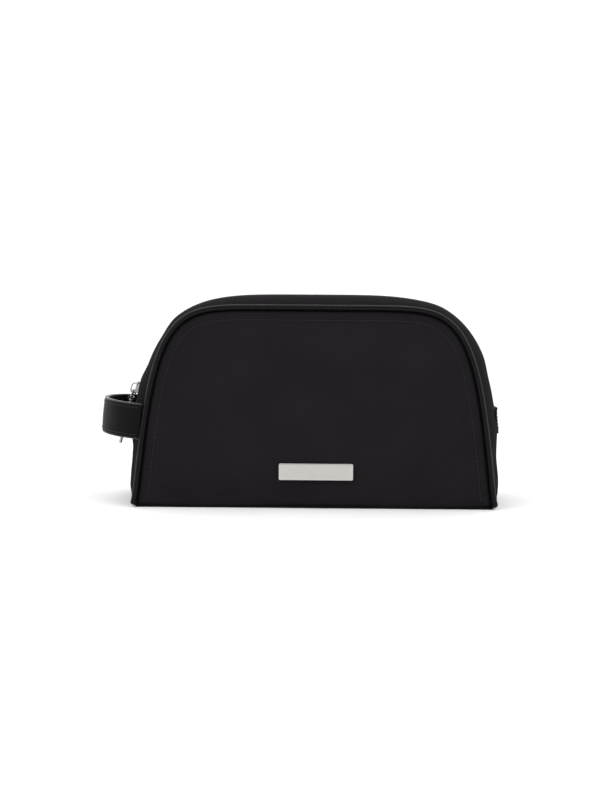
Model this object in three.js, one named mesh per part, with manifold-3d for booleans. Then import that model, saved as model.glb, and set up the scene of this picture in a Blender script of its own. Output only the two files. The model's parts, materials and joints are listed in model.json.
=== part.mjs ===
// A dome-topped wash bag: two padded D-shaped panels joined by a gusset that carries a
// zip over the top, a flat stiffened base and a leather-look side strap.
// Millimetres, +Z up, origin at the middle of the base where it meets the floor.
// The front panel faces -Y, the carrying strap and the closed end of the zip are at -X.

import * as THREE from "three";
import { mergeVertices } from "three/addons/utils/BufferGeometryUtils.js";
import Module from "manifold-3d";

// ---------------------------------------------------------------- driving dimensions

// Outlines seen from the front. Each arch is a flattened superellipse:
// x = (halfWidth - lean z) cos^(2/side), z = height sin^(2/top).
const PANEL_ARCH = { halfWidth: 124.7, height: 138.9, topPower: 4.35, sidePower: 7.7, lean: 0.11 };
const CROWN_ARCH = { halfWidth: 132.2, height: 149.6, topPower: 2.32, sidePower: 4.52, lean: -0.052 };

const BASE_HALF_DEPTH = 48;      // half the depth between the two seams, at the base
const DEPTH_LEAN = 0.05;         // how much each seam leans inwards per mm of height
const CROWN_POWER = 2.2;         // roundness of the gusset between its seams
const GAP = 0.3;                 // clearance between pieces that touch

const SKIN = 1.4;                // outer fabric
const PANEL_BOTTOM = 1.7;        // height at which the panels and gussets leave the base
const PANEL_PUFF = 4.5;          // how far the padding swells a panel
const PUFF_POWER = 6;            // how late the swelling dies away towards the seam
const PANEL_RECESS = 0.6;        // the panel's edge sits this far behind the seam line
const PANEL_CENTRE_Z = 62;
const BADGE_ROOM = 1.1;          // space behind the front skin for the badge's backing
const FOAM = 2.0;
const LINING = 0.8;

const PIPING_RADIUS = 1.9;
const PIPING_OFFSET = 2.3;       // seam line outside the panel's edge

const ZIP_END_HEIGHT = 69;       // both ends of the zip
const CLOSED_END_HEIGHT = 92;    // the front row stays joined to the back row below this
const ZIP_GAP = 0.4;             // half the slit between the two tapes
const TAPE_HALF_WIDTH = 12;
const CLOSED_TAPE_HALF_WIDTH = 6.2;
const STRIP_EDGE = 6.8;          // the fabric strips stop this far from the slit
const COIL_EDGE = 2.9;
const COIL_HEIGHT = 1.5;
const STRIP_UNDER = -1.2;         // undersides of the strip and the coil, from the zip surface
const STRIP_LINING = { top: -2.5, under: -3.2 };
const TAPE_DEPTH = 1.5;
const TAPE = 0.7;

const TAB_FOOT_HEIGHT = 50.5;
const TAB_HALF_WIDTH = 9;
const TAB_STAND = 1.9;

const STRAP = { height: 60, standOff: 0.5, reach: 33.3, halfSpan: 44, halfWidth: 12.2, rise: 5, ply: 1.5 };

const STOP_HALF_WIDTH = 3.4;
const STOP_HEIGHT = 1.2;         // above and below the zip surface
const SLIDER = { bottom: 80, top: 103, below: 4, above: 5.5, halfWidth: 4.5, flange: 1.2 };
const SLIDER_ROOF = 1.7;         // underside of the slider's roof above the zip surface
const SLIDER_ROOF_PLY = 1.3;
const SLIDER_SKIRT = -0.7;       // lower edge of the slider's side flanges

const BAIL = { halfWidth: 1.1, below: 3.8, above: 3.8, ply: 1.2, clear: 2.6 };
const LINK = { length: 6.5, wire: 1.4, innerHalfWidth: 1.8, seat: -1.5, stand: 4.3 };
const PULL = { length: 34, halfWidth: 3, thickness: 2.2, eye: 2.3, hole: 1.3, lean: 13.5, neck: 1.3 };

const BADGE = { width: 52, height: 11.6, ply: 1.2, z: 26.4, x: 1.2, prongInset: 6, prong: 1.4 };

const BASE_BOARD = { halfLength: 121, halfDepth: 41, corner: 9, ply: 1.5 };

// ---------------------------------------------------------------- materials

const OUTER = new THREE.MeshStandardMaterial({ name: "outer_fabric", color: 0x242225, roughness: 0.75 });
const LINER = new THREE.MeshStandardMaterial({ name: "lining_fabric", color: 0x3a3a3d, roughness: 0.6 });
const PADDING = new THREE.MeshStandardMaterial({ name: "foam", color: 0xd8d6d0, roughness: 0.95 });
const BOARD = new THREE.MeshStandardMaterial({ name: "board", color: 0x8a8378, roughness: 0.9 });
const LEATHER = new THREE.MeshStandardMaterial({ name: "strap_leather", color: 0x232123, roughness: 0.5 });
const PIPING = new THREE.MeshStandardMaterial({ name: "piping_leather", color: 0x201f21, roughness: 0.45 });
const ZIP_TAPE = new THREE.MeshStandardMaterial({ name: "zip_tape", color: 0x1c1b1d, roughness: 0.85 });
const ZIP_COIL = new THREE.MeshStandardMaterial({ name: "zip_coil", color: 0x19181a, roughness: 0.4 });
const CHROME = new THREE.MeshStandardMaterial({
  name: "chrome_metal", color: 0xb9babd, roughness: 0.2, metalness: 1,
});
const SATIN = new THREE.MeshStandardMaterial({
  name: "badge_metal", color: 0xc8c5c0, roughness: 0.35, metalness: 1,
});
const BACKING = new THREE.MeshStandardMaterial({
  name: "backing_metal", color: 0x9a9a96, roughness: 0.5, metalness: 1,
});

// ---------------------------------------------------------------- outlines

/** An arch from the left foot (t = 0) over the crown (t = 0.5) to the right foot. */
class Arch extends THREE.Curve {
  constructor(shape) {
    super();
    this.shape = shape;
    this.arcLengthDivisions = 900;
  }

  getPoint(t, target = new THREE.Vector3()) {
    const { halfWidth, height, topPower, sidePower, lean } = this.shape;
    const climb = 1 - Math.abs(2 * t - 1);
    const angle = (Math.PI / 2) * (1 - (1 - climb * climb) ** 4);
    const z = height * Math.sin(angle) ** (2 / topPower);
    const x = (halfWidth - lean * z) * Math.max(Math.cos(angle), 0) ** (2 / sidePower);
    return target.set(t < 0.5 ? -x : x, 0, z);
  }

  /** The fraction of the arch's length at which its left side reaches a height. */
  fractionAt(height) {
    let low = 0;
    let high = 0.5;
    for (let i = 0; i < 40; i += 1) {
      const middle = (low + high) / 2;
      if (this.getPointAt(middle).z < height) low = middle;
      else high = middle;
    }
    return (low + high) / 2;
  }

  /** The point at a fraction of the length, moved outwards in the plane of the arch. */
  offsetAt(u, distance) {
    const step = 0.002;
    const ahead = this.getPointAt(Math.min(u + step, 1));
    const behind = this.getPointAt(Math.max(u - step, 0));
    const tangent = ahead.sub(behind).normalize();
    const outward = new THREE.Vector3(-tangent.z, 0, tangent.x);
    return this.getPointAt(u).addScaledVector(outward, distance);
  }
}

const panelArch = new Arch(PANEL_ARCH);
const crownArch = new Arch(CROWN_ARCH);

const halfDepth = (z) => BASE_HALF_DEPTH - DEPTH_LEAN * z;
const seamPoint = (u) => panelArch.offsetAt(u, PIPING_OFFSET);
const mirror = (u) => 1 - u;

const FOOT = panelArch.fractionAt(PANEL_BOTTOM + GAP);
const ZIP_END = crownArch.fractionAt(ZIP_END_HEIGHT);
const CLOSED_END = crownArch.fractionAt(CLOSED_END_HEIGHT);
const TAB_FOOT = crownArch.fractionAt(TAB_FOOT_HEIGHT);
const TINY = GAP / crownArch.getLength();
const STOP_ROOM = 10 * TINY;

/** A point of the gusset's outer face: u runs round the arch, y across the depth. */
function gussetPoint(u, y) {
  const seam = seamPoint(u);
  const share = Math.min(Math.abs(y) / halfDepth(seam.z), 1);
  const crown = 1 - share ** CROWN_POWER;
  const point = seam.lerp(crownArch.getPointAt(u), crown);
  point.y = y;
  return point;
}

/** The same point pushed out (or, below zero, in) along the gusset's own normal. */
function gussetOffset(u, y, distance) {
  const du = 0.004;
  const dy = 0.5;
  const along = gussetPoint(Math.min(u + du, 1), y).sub(gussetPoint(Math.max(u - du, 0), y));
  const across = gussetPoint(u, y + dy).sub(gussetPoint(u, y - dy));
  const normal = along.cross(across).normalize();
  return gussetPoint(u, y).addScaledVector(normal, distance);
}

// ---------------------------------------------------------------- closed bodies

/** A closed geometry from its corners and faces, turned so that its faces point out. */
function closedGeometry(points, faces) {
  const volume = faces.reduce((sum, [a, b, c]) => {
    const cross = new THREE.Vector3().crossVectors(points[b], points[c]);
    return sum + points[a].dot(cross);
  }, 0);
  const index = volume < 0 ? faces.map(([a, b, c]) => [a, c, b]).flat() : faces.flat();
  const geometry = new THREE.BufferGeometry().setFromPoints(points);
  geometry.setIndex(index);
  geometry.computeVertexNormals();
  return geometry;
}

/** A curved slab between two grids of (nu + 1) by (nv + 1) points with the same layout. */
function slab(nu, nv, outerPoint, innerPoint) {
  const points = [];
  for (const place of [outerPoint, innerPoint]) {
    for (let i = 0; i <= nu; i += 1) {
      for (let j = 0; j <= nv; j += 1) points.push(place(i / nu, j / nv));
    }
  }
  const layer = (nu + 1) * (nv + 1);
  const at = (k, i, j) => k * layer + i * (nv + 1) + j;
  const faces = [];
  const quad = (a, b, c, d) => faces.push([a, b, c], [a, c, d]);
  for (let i = 0; i < nu; i += 1) {
    for (let j = 0; j < nv; j += 1) {
      quad(at(0, i, j), at(0, i + 1, j), at(0, i + 1, j + 1), at(0, i, j + 1));
      quad(at(1, i, j), at(1, i, j + 1), at(1, i + 1, j + 1), at(1, i + 1, j));
    }
    quad(at(0, i, 0), at(1, i, 0), at(1, i + 1, 0), at(0, i + 1, 0));
    quad(at(0, i, nv), at(0, i + 1, nv), at(1, i + 1, nv), at(1, i, nv));
  }
  for (let j = 0; j < nv; j += 1) {
    quad(at(0, 0, j), at(0, 0, j + 1), at(1, 0, j + 1), at(1, 0, j));
    quad(at(0, nu, j), at(1, nu, j), at(1, nu, j + 1), at(0, nu, j + 1));
  }
  return closedGeometry(points, faces);
}

/** A layer of the gusset: from y = near(u) to y = far(u), between two depths. */
function gussetLayer({ from, to, near, far, outer, inner, nu, nv }) {
  const u = (a) => THREE.MathUtils.lerp(from, to, a);
  const y = (a, b) => THREE.MathUtils.lerp(near(u(a)), far(u(a)), b);
  const height = typeof outer === "function" ? outer : () => outer;
  return slab(
    nu,
    nv,
    (a, b) => gussetOffset(u(a), y(a, b), height(b)),
    (a, b) => gussetOffset(u(a), y(a, b), inner),
  );
}

/** The panel's edge as a closed loop of [x, z] points, the straight foot included. */
function panelLoop(archSteps, footSteps) {
  const loop = [];
  for (let i = 0; i <= archSteps; i += 1) {
    const u = THREE.MathUtils.lerp(FOOT, mirror(FOOT), i / archSteps);
    const point = panelArch.getPointAt(u);
    loop.push([point.x, i === 0 || i === archSteps ? PANEL_BOTTOM : point.z]);
  }
  const end = loop[archSteps][0];
  for (let i = 1; i < footSteps; i += 1) {
    loop.push([THREE.MathUtils.lerp(end, -end, i / footSteps), PANEL_BOTTOM]);
  }
  return loop;
}

/** How far a panel's outer face stands from the middle of the bag. */
function panelFace(z, rho) {
  return halfDepth(z) - PANEL_RECESS + PANEL_PUFF * (1 - rho ** PUFF_POWER);
}

/** One layer of a padded panel. side is -1 at the front and 1 at the back. */
function panelLayer({ side, reach, outer, inner, archSteps, footSteps, rings }) {
  const loop = panelLoop(archSteps, footSteps);
  const count = loop.length;
  const points = [];
  const faces = [];
  const layer = 1 + count * rings;
  for (const depth of [outer, inner]) {
    points.push(new THREE.Vector3(0, side * (panelFace(PANEL_CENTRE_Z, 0) - depth), PANEL_CENTRE_Z));
    for (let k = 1; k <= rings; k += 1) {
      const rho = reach * (1 - (1 - k / rings) ** 1.5);
      for (const [x, z] of loop) {
        const height = THREE.MathUtils.lerp(PANEL_CENTRE_Z, z, rho);
        points.push(new THREE.Vector3(x * rho, side * (panelFace(height, rho) - depth), height));
      }
    }
  }
  const at = (k, ring, i) => k * layer + 1 + (ring - 1) * count + (i % count);
  for (let i = 0; i < count; i += 1) {
    faces.push([0, at(0, 1, i), at(0, 1, i + 1)]);
    faces.push([layer, at(1, 1, i + 1), at(1, 1, i)]);
    for (let k = 1; k < rings; k += 1) {
      faces.push([at(0, k, i), at(0, k + 1, i), at(0, k + 1, i + 1)]);
      faces.push([at(0, k, i), at(0, k + 1, i + 1), at(0, k, i + 1)]);
      faces.push([at(1, k, i), at(1, k + 1, i + 1), at(1, k + 1, i)]);
      faces.push([at(1, k, i), at(1, k, i + 1), at(1, k + 1, i + 1)]);
    }
    faces.push([at(0, rings, i), at(1, rings, i), at(1, rings, i + 1)]);
    faces.push([at(0, rings, i), at(1, rings, i + 1), at(0, rings, i + 1)]);
  }
  return closedGeometry(points, faces);
}

// ---------------------------------------------------------------- booleans

const wasm = await Module();
wasm.setup();

function toSolid(source) {
  const geometry = source.clone();
  geometry.deleteAttribute("normal");
  geometry.deleteAttribute("uv");
  const merged = mergeVertices(geometry, 1e-4);
  return new wasm.Manifold(new wasm.Mesh({
    numProp: 3,
    vertProperties: new Float32Array(merged.attributes.position.array),
    triVerts: new Uint32Array(merged.index.array),
  }));
}

function toGeometry(solid) {
  const mesh = solid.getMesh();
  const geometry = new THREE.BufferGeometry();
  geometry.setAttribute("position", new THREE.BufferAttribute(new Float32Array(mesh.vertProperties), 3));
  geometry.setIndex(new THREE.BufferAttribute(new Uint32Array(mesh.triVerts), 1));
  return geometry;
}

function cut(body, ...tools) {
  return toGeometry(tools.reduce((solid, tool) => solid.subtract(toSolid(tool)), toSolid(body)));
}

function join(body, ...others) {
  return toGeometry(others.reduce((solid, other) => solid.add(toSolid(other)), toSolid(body)));
}

// ---------------------------------------------------------------- assembly helpers

const bag = new THREE.Group();

function add(name, geometry, material, parent = bag) {
  const mesh = new THREE.Mesh(geometry, material);
  mesh.name = name;
  parent.add(mesh);
  return mesh;
}

// ---------------------------------------------------------------- padded panels

const LAYERS = [
  { name: "panel", reach: 1, outer: 0, inner: SKIN, steps: 44, foot: 8, rings: 4, skin: OUTER },
  {
    name: "foam", reach: 0.97, outer: SKIN + BADGE_ROOM, inner: SKIN + BADGE_ROOM + FOAM,
    steps: 32, foot: 6, rings: 3, skin: PADDING,
  },
  {
    name: "lining", reach: 0.955, outer: SKIN + BADGE_ROOM + FOAM + GAP,
    inner: SKIN + BADGE_ROOM + FOAM + GAP + LINING, steps: 32, foot: 6, rings: 3, skin: LINER,
  },
];

function badgeRho() {
  return (PANEL_CENTRE_Z - BADGE.z) / (PANEL_CENTRE_Z - PANEL_BOTTOM);
}

/** A group on the front skin where the badge sits, its -Y pointing out of the panel. */
function badgeSeat() {
  const seat = new THREE.Group();
  const face = panelFace(BADGE.z, badgeRho());
  seat.position.set(BADGE.x, -face, BADGE.z);
  return seat;
}

function prong(sign) {
  const length = GAP + SKIN + BADGE_ROOM;
  const box = new THREE.BoxGeometry(BADGE.prong, length, BADGE.prong);
  return box.translate(sign * (BADGE.width / 2 - BADGE.prongInset), length / 2 - GAP, 0);
}

function prongHole(sign, depth, width) {
  const box = new THREE.BoxGeometry(width, depth, width);
  return box.translate(sign * (BADGE.width / 2 - BADGE.prongInset), 0, 0);
}

function addPanel(side, prefix) {
  for (const layer of LAYERS) {
    let geometry = panelLayer({
      side, reach: layer.reach, outer: layer.outer, inner: layer.inner,
      archSteps: layer.steps, footSteps: layer.foot, rings: layer.rings,
    });
    if (side < 0 && layer.name === "panel") {
      const seat = badgeSeat().position;
      const holes = [-1, 1].map((sign) => {
        const hole = prongHole(sign, 4 * SKIN, BADGE.prong + 2 * GAP);
        return hole.translate(seat.x, seat.y, seat.z);
      });
      geometry = cut(geometry, ...holes);
    }
    add(`${prefix}_${layer.name}`, geometry, layer.skin);
  }
}

function addBadge() {
  const seat = badgeSeat();
  const stand = 2 * GAP;
  const plate = new THREE.BoxGeometry(BADGE.width, BADGE.ply, BADGE.height);
  plate.translate(0, -stand - BADGE.ply / 2, 0);
  const prongs = [-1, 1].map((sign) => prong(sign).translate(0, -stand, 0));
  add("badge_plate", join(plate, ...prongs), SATIN, seat);
  const ply = 0.5;
  const backing = new THREE.BoxGeometry(BADGE.width - 2, ply, BADGE.height - 3);
  const slots = [-1, 1].map((sign) => prongHole(sign, 4 * ply, BADGE.prong + 2 * GAP));
  const behind = cut(backing, ...slots);
  add("badge_backing", behind.translate(0, SKIN + GAP + ply / 2, 0), BACKING, seat);
  bag.add(seat);
}

// ---------------------------------------------------------------- piping

/** The seam line at the front (side -1) or back, as a curve for the piping to follow. */
class SeamCurve extends THREE.Curve {
  constructor(side) {
    super();
    this.side = side;
  }

  getPoint(t, target = new THREE.Vector3()) {
    const point = seamPoint(THREE.MathUtils.lerp(FOOT, mirror(FOOT), t));
    return target.set(point.x, this.side * halfDepth(point.z), point.z);
  }
}

function addPiping(side, prefix) {
  const section = new THREE.Shape();
  section.absarc(0, 0, PIPING_RADIUS, 0, 2 * Math.PI);
  const options = { steps: 56, curveSegments: 4, bevelEnabled: false, extrudePath: new SeamCurve(side) };
  add(`${prefix}_piping`, new THREE.ExtrudeGeometry(section, options), PIPING);
}

// ---------------------------------------------------------------- side gussets and base

const SEAM_CLEARANCE = PIPING_RADIUS + 2 * GAP;
const LINING_CLEARANCE = 6.5;    // from the seam to the edge of foam and lining

const GUSSET_LAYERS = [
  { name: "gusset", outer: 0, inner: -1.3, clear: SEAM_CLEARANCE, nu: 7, nv: 8, skin: OUTER },
  {
    name: "gusset_foam", outer: -1.6, inner: -3.2, clear: LINING_CLEARANCE, nu: 7, nv: 8,
    skin: PADDING,
  },
  {
    name: "gusset_lining", outer: -3.5, inner: -4.2, clear: LINING_CLEARANCE, nu: 7, nv: 8,
    skin: LINER,
  },
];

const seamDepth = (u) => halfDepth(seamPoint(u).z);

function addGusset(left) {
  const prefix = left ? "left" : "right";
  const foot = crownArch.fractionAt(PANEL_BOTTOM + 2 * GAP);
  const turn = left ? (u) => u : mirror;
  for (const layer of GUSSET_LAYERS) {
    const geometry = gussetLayer({
      from: turn(foot), to: turn(ZIP_END - TINY),
      near: (u) => layer.clear - seamDepth(u), far: (u) => seamDepth(u) - layer.clear,
      outer: layer.outer, inner: layer.inner, nu: layer.nu, nv: layer.nv,
    });
    add(`${prefix}_${layer.name}`, geometry, layer.skin);
  }
  const tab = gussetLayer({
    from: turn(TAB_FOOT), to: turn(ZIP_END - TINY),
    near: () => -TAB_HALF_WIDTH, far: () => TAB_HALF_WIDTH,
    outer: TAB_STAND, inner: GAP, nu: 4, nv: 4,
  });
  add(`zip_tab_${prefix}`, tab, LEATHER);
}

/** The base's plan: as wide as the gussets' feet, rounded out between the seams. */
function addBase() {
  const plan = new THREE.Shape();
  const steps = 12;
  const edge = BASE_HALF_DEPTH - GAP;
  const inset = 0.8;
  const corners = [];
  for (let i = 0; i <= steps; i += 1) {
    const y = THREE.MathUtils.lerp(-edge, edge, i / steps);
    corners.push(new THREE.Vector2(-gussetPoint(0, y).x - inset, y));
  }
  for (let i = steps; i >= 0; i -= 1) corners.push(new THREE.Vector2(-corners[i].x, corners[i].y));
  plan.setFromPoints(corners);
  add("base_panel", new THREE.ExtrudeGeometry(plan, { depth: SKIN, bevelEnabled: false }), OUTER);

  const { halfLength, halfDepth: reach, corner, ply } = BASE_BOARD;
  const flat = new THREE.Shape();
  flat.absarc(halfLength - corner, reach - corner, corner, 0, Math.PI / 2);
  flat.absarc(corner - halfLength, reach - corner, corner, Math.PI / 2, Math.PI);
  flat.absarc(corner - halfLength, corner - reach, corner, Math.PI, 1.5 * Math.PI);
  flat.absarc(halfLength - corner, corner - reach, corner, 1.5 * Math.PI, 2 * Math.PI);
  flat.closePath();
  const rounded = { bevelEnabled: false, curveSegments: 5 };
  const board = new THREE.ExtrudeGeometry(flat, { ...rounded, depth: ply });
  add("base_board", board.translate(0, 0, SKIN + GAP), BOARD);
  const lining = new THREE.ExtrudeGeometry(flat, { ...rounded, depth: LINING });
  add("base_lining", lining.translate(0, 0, SKIN + ply + 2 * GAP), LINER);
}

// ---------------------------------------------------------------- zip

/** One side of the zip band over the crown. side is -1 at the front and 1 at the back. */
function zipLayer(side, from, to, near, far, outer, inner, nu, nv) {
  const outerEdge = typeof far === "function" ? far : () => far;
  return gussetLayer({
    from, to, near: () => side * near, far: (u) => side * outerEdge(u), outer, inner, nu, nv,
  });
}

const stripSeam = (u) => seamDepth(u) - SEAM_CLEARANCE;
const stripLiningEdge = (u) => seamDepth(u) - LINING_CLEARANCE;
const coilTop = (b) => COIL_HEIGHT * Math.sin(Math.PI * b) - 0.6;

function addZip(side, prefix) {
  const from = ZIP_END + TINY;
  const to = mirror(from);
  const split = side < 0 ? CLOSED_END + TINY : from;
  const rowStart = side < 0 ? split : from + STOP_ROOM;

  const strip = zipLayer(side, split, to, STRIP_EDGE, stripSeam, 0, STRIP_UNDER, 40, 3);
  add(`${prefix}_zip_strip`, strip, OUTER);
  const lining = zipLayer(
    side, split, to, STRIP_EDGE, stripLiningEdge, STRIP_LINING.top, STRIP_LINING.under, 40, 1,
  );
  add(`${prefix}_strip_lining`, lining, LINER);
  const tape = zipLayer(
    side, split, to, ZIP_GAP, TAPE_HALF_WIDTH, -TAPE_DEPTH, -TAPE_DEPTH - TAPE, 40, 1,
  );
  add(`${prefix}_zip_tape`, tape, ZIP_TAPE);
  const coil = zipLayer(
    side, rowStart, to - STOP_ROOM, GAP, COIL_EDGE, coilTop, STRIP_UNDER, 40, 2,
  );
  add(`${prefix}_zip_coil`, coil, ZIP_COIL);
}

/** The last stretch of the front half, which the slider keeps joined to the back half. */
function addClosedEnd() {
  const from = ZIP_END + TINY;
  const strip = zipLayer(-1, from, CLOSED_END, STRIP_EDGE, stripSeam, 0, STRIP_UNDER, 5, 3);
  add("front_strip_closed_end", strip, OUTER);
  const lining = zipLayer(
    -1, from, CLOSED_END, STRIP_EDGE, stripLiningEdge, STRIP_LINING.top, STRIP_LINING.under, 5, 1,
  );
  add("front_lining_closed_end", lining, LINER);
  const tape = zipLayer(
    -1, from, CLOSED_END, ZIP_GAP, CLOSED_TAPE_HALF_WIDTH, -TAPE_DEPTH, -TAPE_DEPTH - TAPE, 5, 1,
  );
  add("front_tape_closed_end", tape, ZIP_TAPE);
  const coil = zipLayer(
    -1, from + STOP_ROOM, CLOSED_END, GAP, COIL_EDGE, coilTop, STRIP_UNDER, 4, 2,
  );
  add("front_coil_closed_end", coil, ZIP_COIL);
  const stop = (start, end) => gussetLayer({
    from: start, to: end, near: () => -STOP_HALF_WIDTH, far: () => STOP_HALF_WIDTH,
    outer: STOP_HEIGHT, inner: -STOP_HEIGHT, nu: 1, nv: 2,
  });
  const stopEnd = from + STOP_ROOM - TINY;
  add("zip_stop_left", stop(from, stopEnd), CHROME);
  add("zip_stop_right", stop(mirror(stopEnd), mirror(from)), CHROME);
}

// ---------------------------------------------------------------- slider and pull

const sliderLow = crownArch.getPointAt(crownArch.fractionAt(SLIDER.bottom));
const sliderHigh = crownArch.getPointAt(crownArch.fractionAt(SLIDER.top));
const SLIDER_LEAN = Math.atan2(sliderHigh.x - sliderLow.x, sliderHigh.z - sliderLow.z);

/** A shape drawn in local (Y, -X), turned so that it is extruded upwards along local Z. */
function extrudeAlongZip(shape, from, to) {
  const geometry = new THREE.ExtrudeGeometry(shape, { depth: to - from, bevelEnabled: false });
  return geometry.rotateZ(Math.PI / 2).translate(0, 0, from);
}

/** A shape drawn in local (X, Z), extruded equally to both sides of the XZ plane. */
function extrudeAcross(shape, halfWidth) {
  const geometry = new THREE.ExtrudeGeometry(shape, {
    depth: 2 * halfWidth, bevelEnabled: false, curveSegments: 7,
  });
  return geometry.rotateX(Math.PI / 2).translate(0, halfWidth, 0);
}

function polygon(corners) {
  return new THREE.Shape(corners.map(([a, b]) => new THREE.Vector2(a, b)));
}

function sliderSection() {
  const { halfWidth, flange } = SLIDER;
  const roof = SLIDER_ROOF + SLIDER_ROOF_PLY;
  const inner = halfWidth - flange;
  const bevel = 0.8;
  return polygon([
    [-halfWidth, SLIDER_SKIRT], [-inner, SLIDER_SKIRT], [-inner, SLIDER_ROOF], [inner, SLIDER_ROOF],
    [inner, SLIDER_SKIRT], [halfWidth, SLIDER_SKIRT], [halfWidth, roof - bevel],
    [halfWidth - bevel, roof], [bevel - halfWidth, roof], [-halfWidth, roof - bevel],
  ]);
}

function bailProfile() {
  const base = SLIDER_ROOF + SLIDER_ROOF_PLY + GAP;
  const crown = SLIDER_ROOF + SLIDER_ROOF_PLY + BAIL.clear;
  const top = crown + BAIL.ply;
  const corner = 1.2;
  return polygon([
    [-base, -BAIL.below], [corner - top, -BAIL.below], [-top, corner - BAIL.below],
    [-top, BAIL.above - corner], [corner - top, BAIL.above], [-base, BAIL.above],
    [-base, BAIL.above - BAIL.ply], [-crown, BAIL.above - BAIL.ply],
    [-crown, BAIL.ply - BAIL.below], [-base, BAIL.ply - BAIL.below],
  ]);
}

function addSlider() {
  const slider = new THREE.Group();
  slider.position.copy(sliderLow);
  slider.rotation.y = SLIDER_LEAN;
  add("slider_body", extrudeAlongZip(sliderSection(), -SLIDER.below, SLIDER.above), CHROME, slider);
  add("slider_bridge", extrudeAcross(bailProfile(), BAIL.halfWidth), CHROME, slider);
  bag.add(slider);

  const link = new THREE.Group();
  link.position.set(-LINK.stand, 0, LINK.seat);
  const outerHalf = LINK.innerHalfWidth + LINK.wire;
  const end = LINK.wire / 2;
  const ring = polygon([
    [-outerHalf, end], [outerHalf, end], [outerHalf, -LINK.length - end], [-outerHalf, -LINK.length - end],
  ]);
  ring.holes.push(polygon([
    [-LINK.innerHalfWidth, -end], [-LINK.innerHalfWidth, end - LINK.length],
    [LINK.innerHalfWidth, end - LINK.length], [LINK.innerHalfWidth, -end],
  ]));
  const wire = new THREE.ExtrudeGeometry(ring, { depth: LINK.wire, bevelEnabled: false });
  wire.translate(0, 0, -LINK.wire / 2).rotateX(Math.PI / 2).rotateZ(Math.PI / 2);
  add("pull_link", wire, CHROME, link);
  slider.add(link);

  const pull = new THREE.Group();
  pull.position.set(0, 0, -LINK.length);
  pull.rotation.y = THREE.MathUtils.degToRad(PULL.lean) - SLIDER_LEAN;
  const eye = new THREE.Shape();
  eye.absarc(0, 0, PULL.eye, 0, 2 * Math.PI);
  const hole = new THREE.Path();
  hole.absarc(0, 0, PULL.hole, 0, 2 * Math.PI, true);
  eye.holes.push(hole);
  const neckLength = 4.6;
  const neck = new THREE.BoxGeometry(PULL.thickness, 2 * PULL.neck, neckLength - PULL.hole);
  neck.translate(0, 0, -(neckLength + PULL.hole) / 2 - 0.4);
  const blade = new THREE.BoxGeometry(PULL.thickness, 2 * PULL.halfWidth, PULL.length - neckLength);
  blade.translate(0, 0, -(PULL.length + neckLength) / 2);
  add("pull_bar", join(extrudeAcross(eye, PULL.neck), neck, blade), CHROME, pull);
  link.add(pull);
}

// ---------------------------------------------------------------- side strap

/** The strap's face: a half ellipse in plan, rising slightly as it leaves the bag. */
function strapPoint(angle, across, depth) {
  const rise = THREE.MathUtils.degToRad(STRAP.rise);
  const anchor = gussetPoint(crownArch.fractionAt(STRAP.height), STRAP.halfSpan);
  const outward = new THREE.Vector3(-Math.cos(rise), 0, Math.sin(rise));
  const upward = new THREE.Vector3(Math.sin(rise), 0, Math.cos(rise));
  const normal = new THREE.Vector2(Math.cos(angle) / STRAP.reach, Math.sin(angle) / STRAP.halfSpan);
  normal.normalize();
  const reach = STRAP.reach * Math.cos(angle) - depth * normal.x;
  const point = new THREE.Vector3(anchor.x - STRAP.standOff, 0, STRAP.height);
  point.addScaledVector(outward, reach).addScaledVector(upward, across);
  point.y = STRAP.halfSpan * Math.sin(angle) - depth * normal.y;
  return point;
}

function strapLayer(limitDegrees, outer, inner) {
  const limit = THREE.MathUtils.degToRad(limitDegrees);
  const angle = (a) => THREE.MathUtils.lerp(-limit, limit, a);
  const across = (b) => THREE.MathUtils.lerp(-STRAP.halfWidth, STRAP.halfWidth, b);
  return slab(
    22,
    1,
    (a, b) => strapPoint(angle(a), across(b), outer),
    (a, b) => strapPoint(angle(a), across(b), inner),
  );
}

function addStrap() {
  add("strap_outer", strapLayer(86, 0, STRAP.ply), LEATHER);
  add("strap_inner", strapLayer(83, STRAP.ply + GAP, 2 * STRAP.ply + GAP), LEATHER);
}

// ---------------------------------------------------------------- the whole bag

addPanel(-1, "front");
addPanel(1, "back");
addBadge();
addPiping(-1, "front");
addPiping(1, "back");
addGusset(true);
addGusset(false);
addBase();
addZip(-1, "front");
addZip(1, "back");
addClosedEnd();
addSlider();
addStrap();

export default bag;
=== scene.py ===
"""Looks for a dome-topped wash bag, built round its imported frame."""

import json
import logging
import math
from dataclasses import dataclass, field
from enum import Enum
from functools import lru_cache
from typing import Callable

import bpy
import numpy as np
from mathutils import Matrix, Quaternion, Vector


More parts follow.
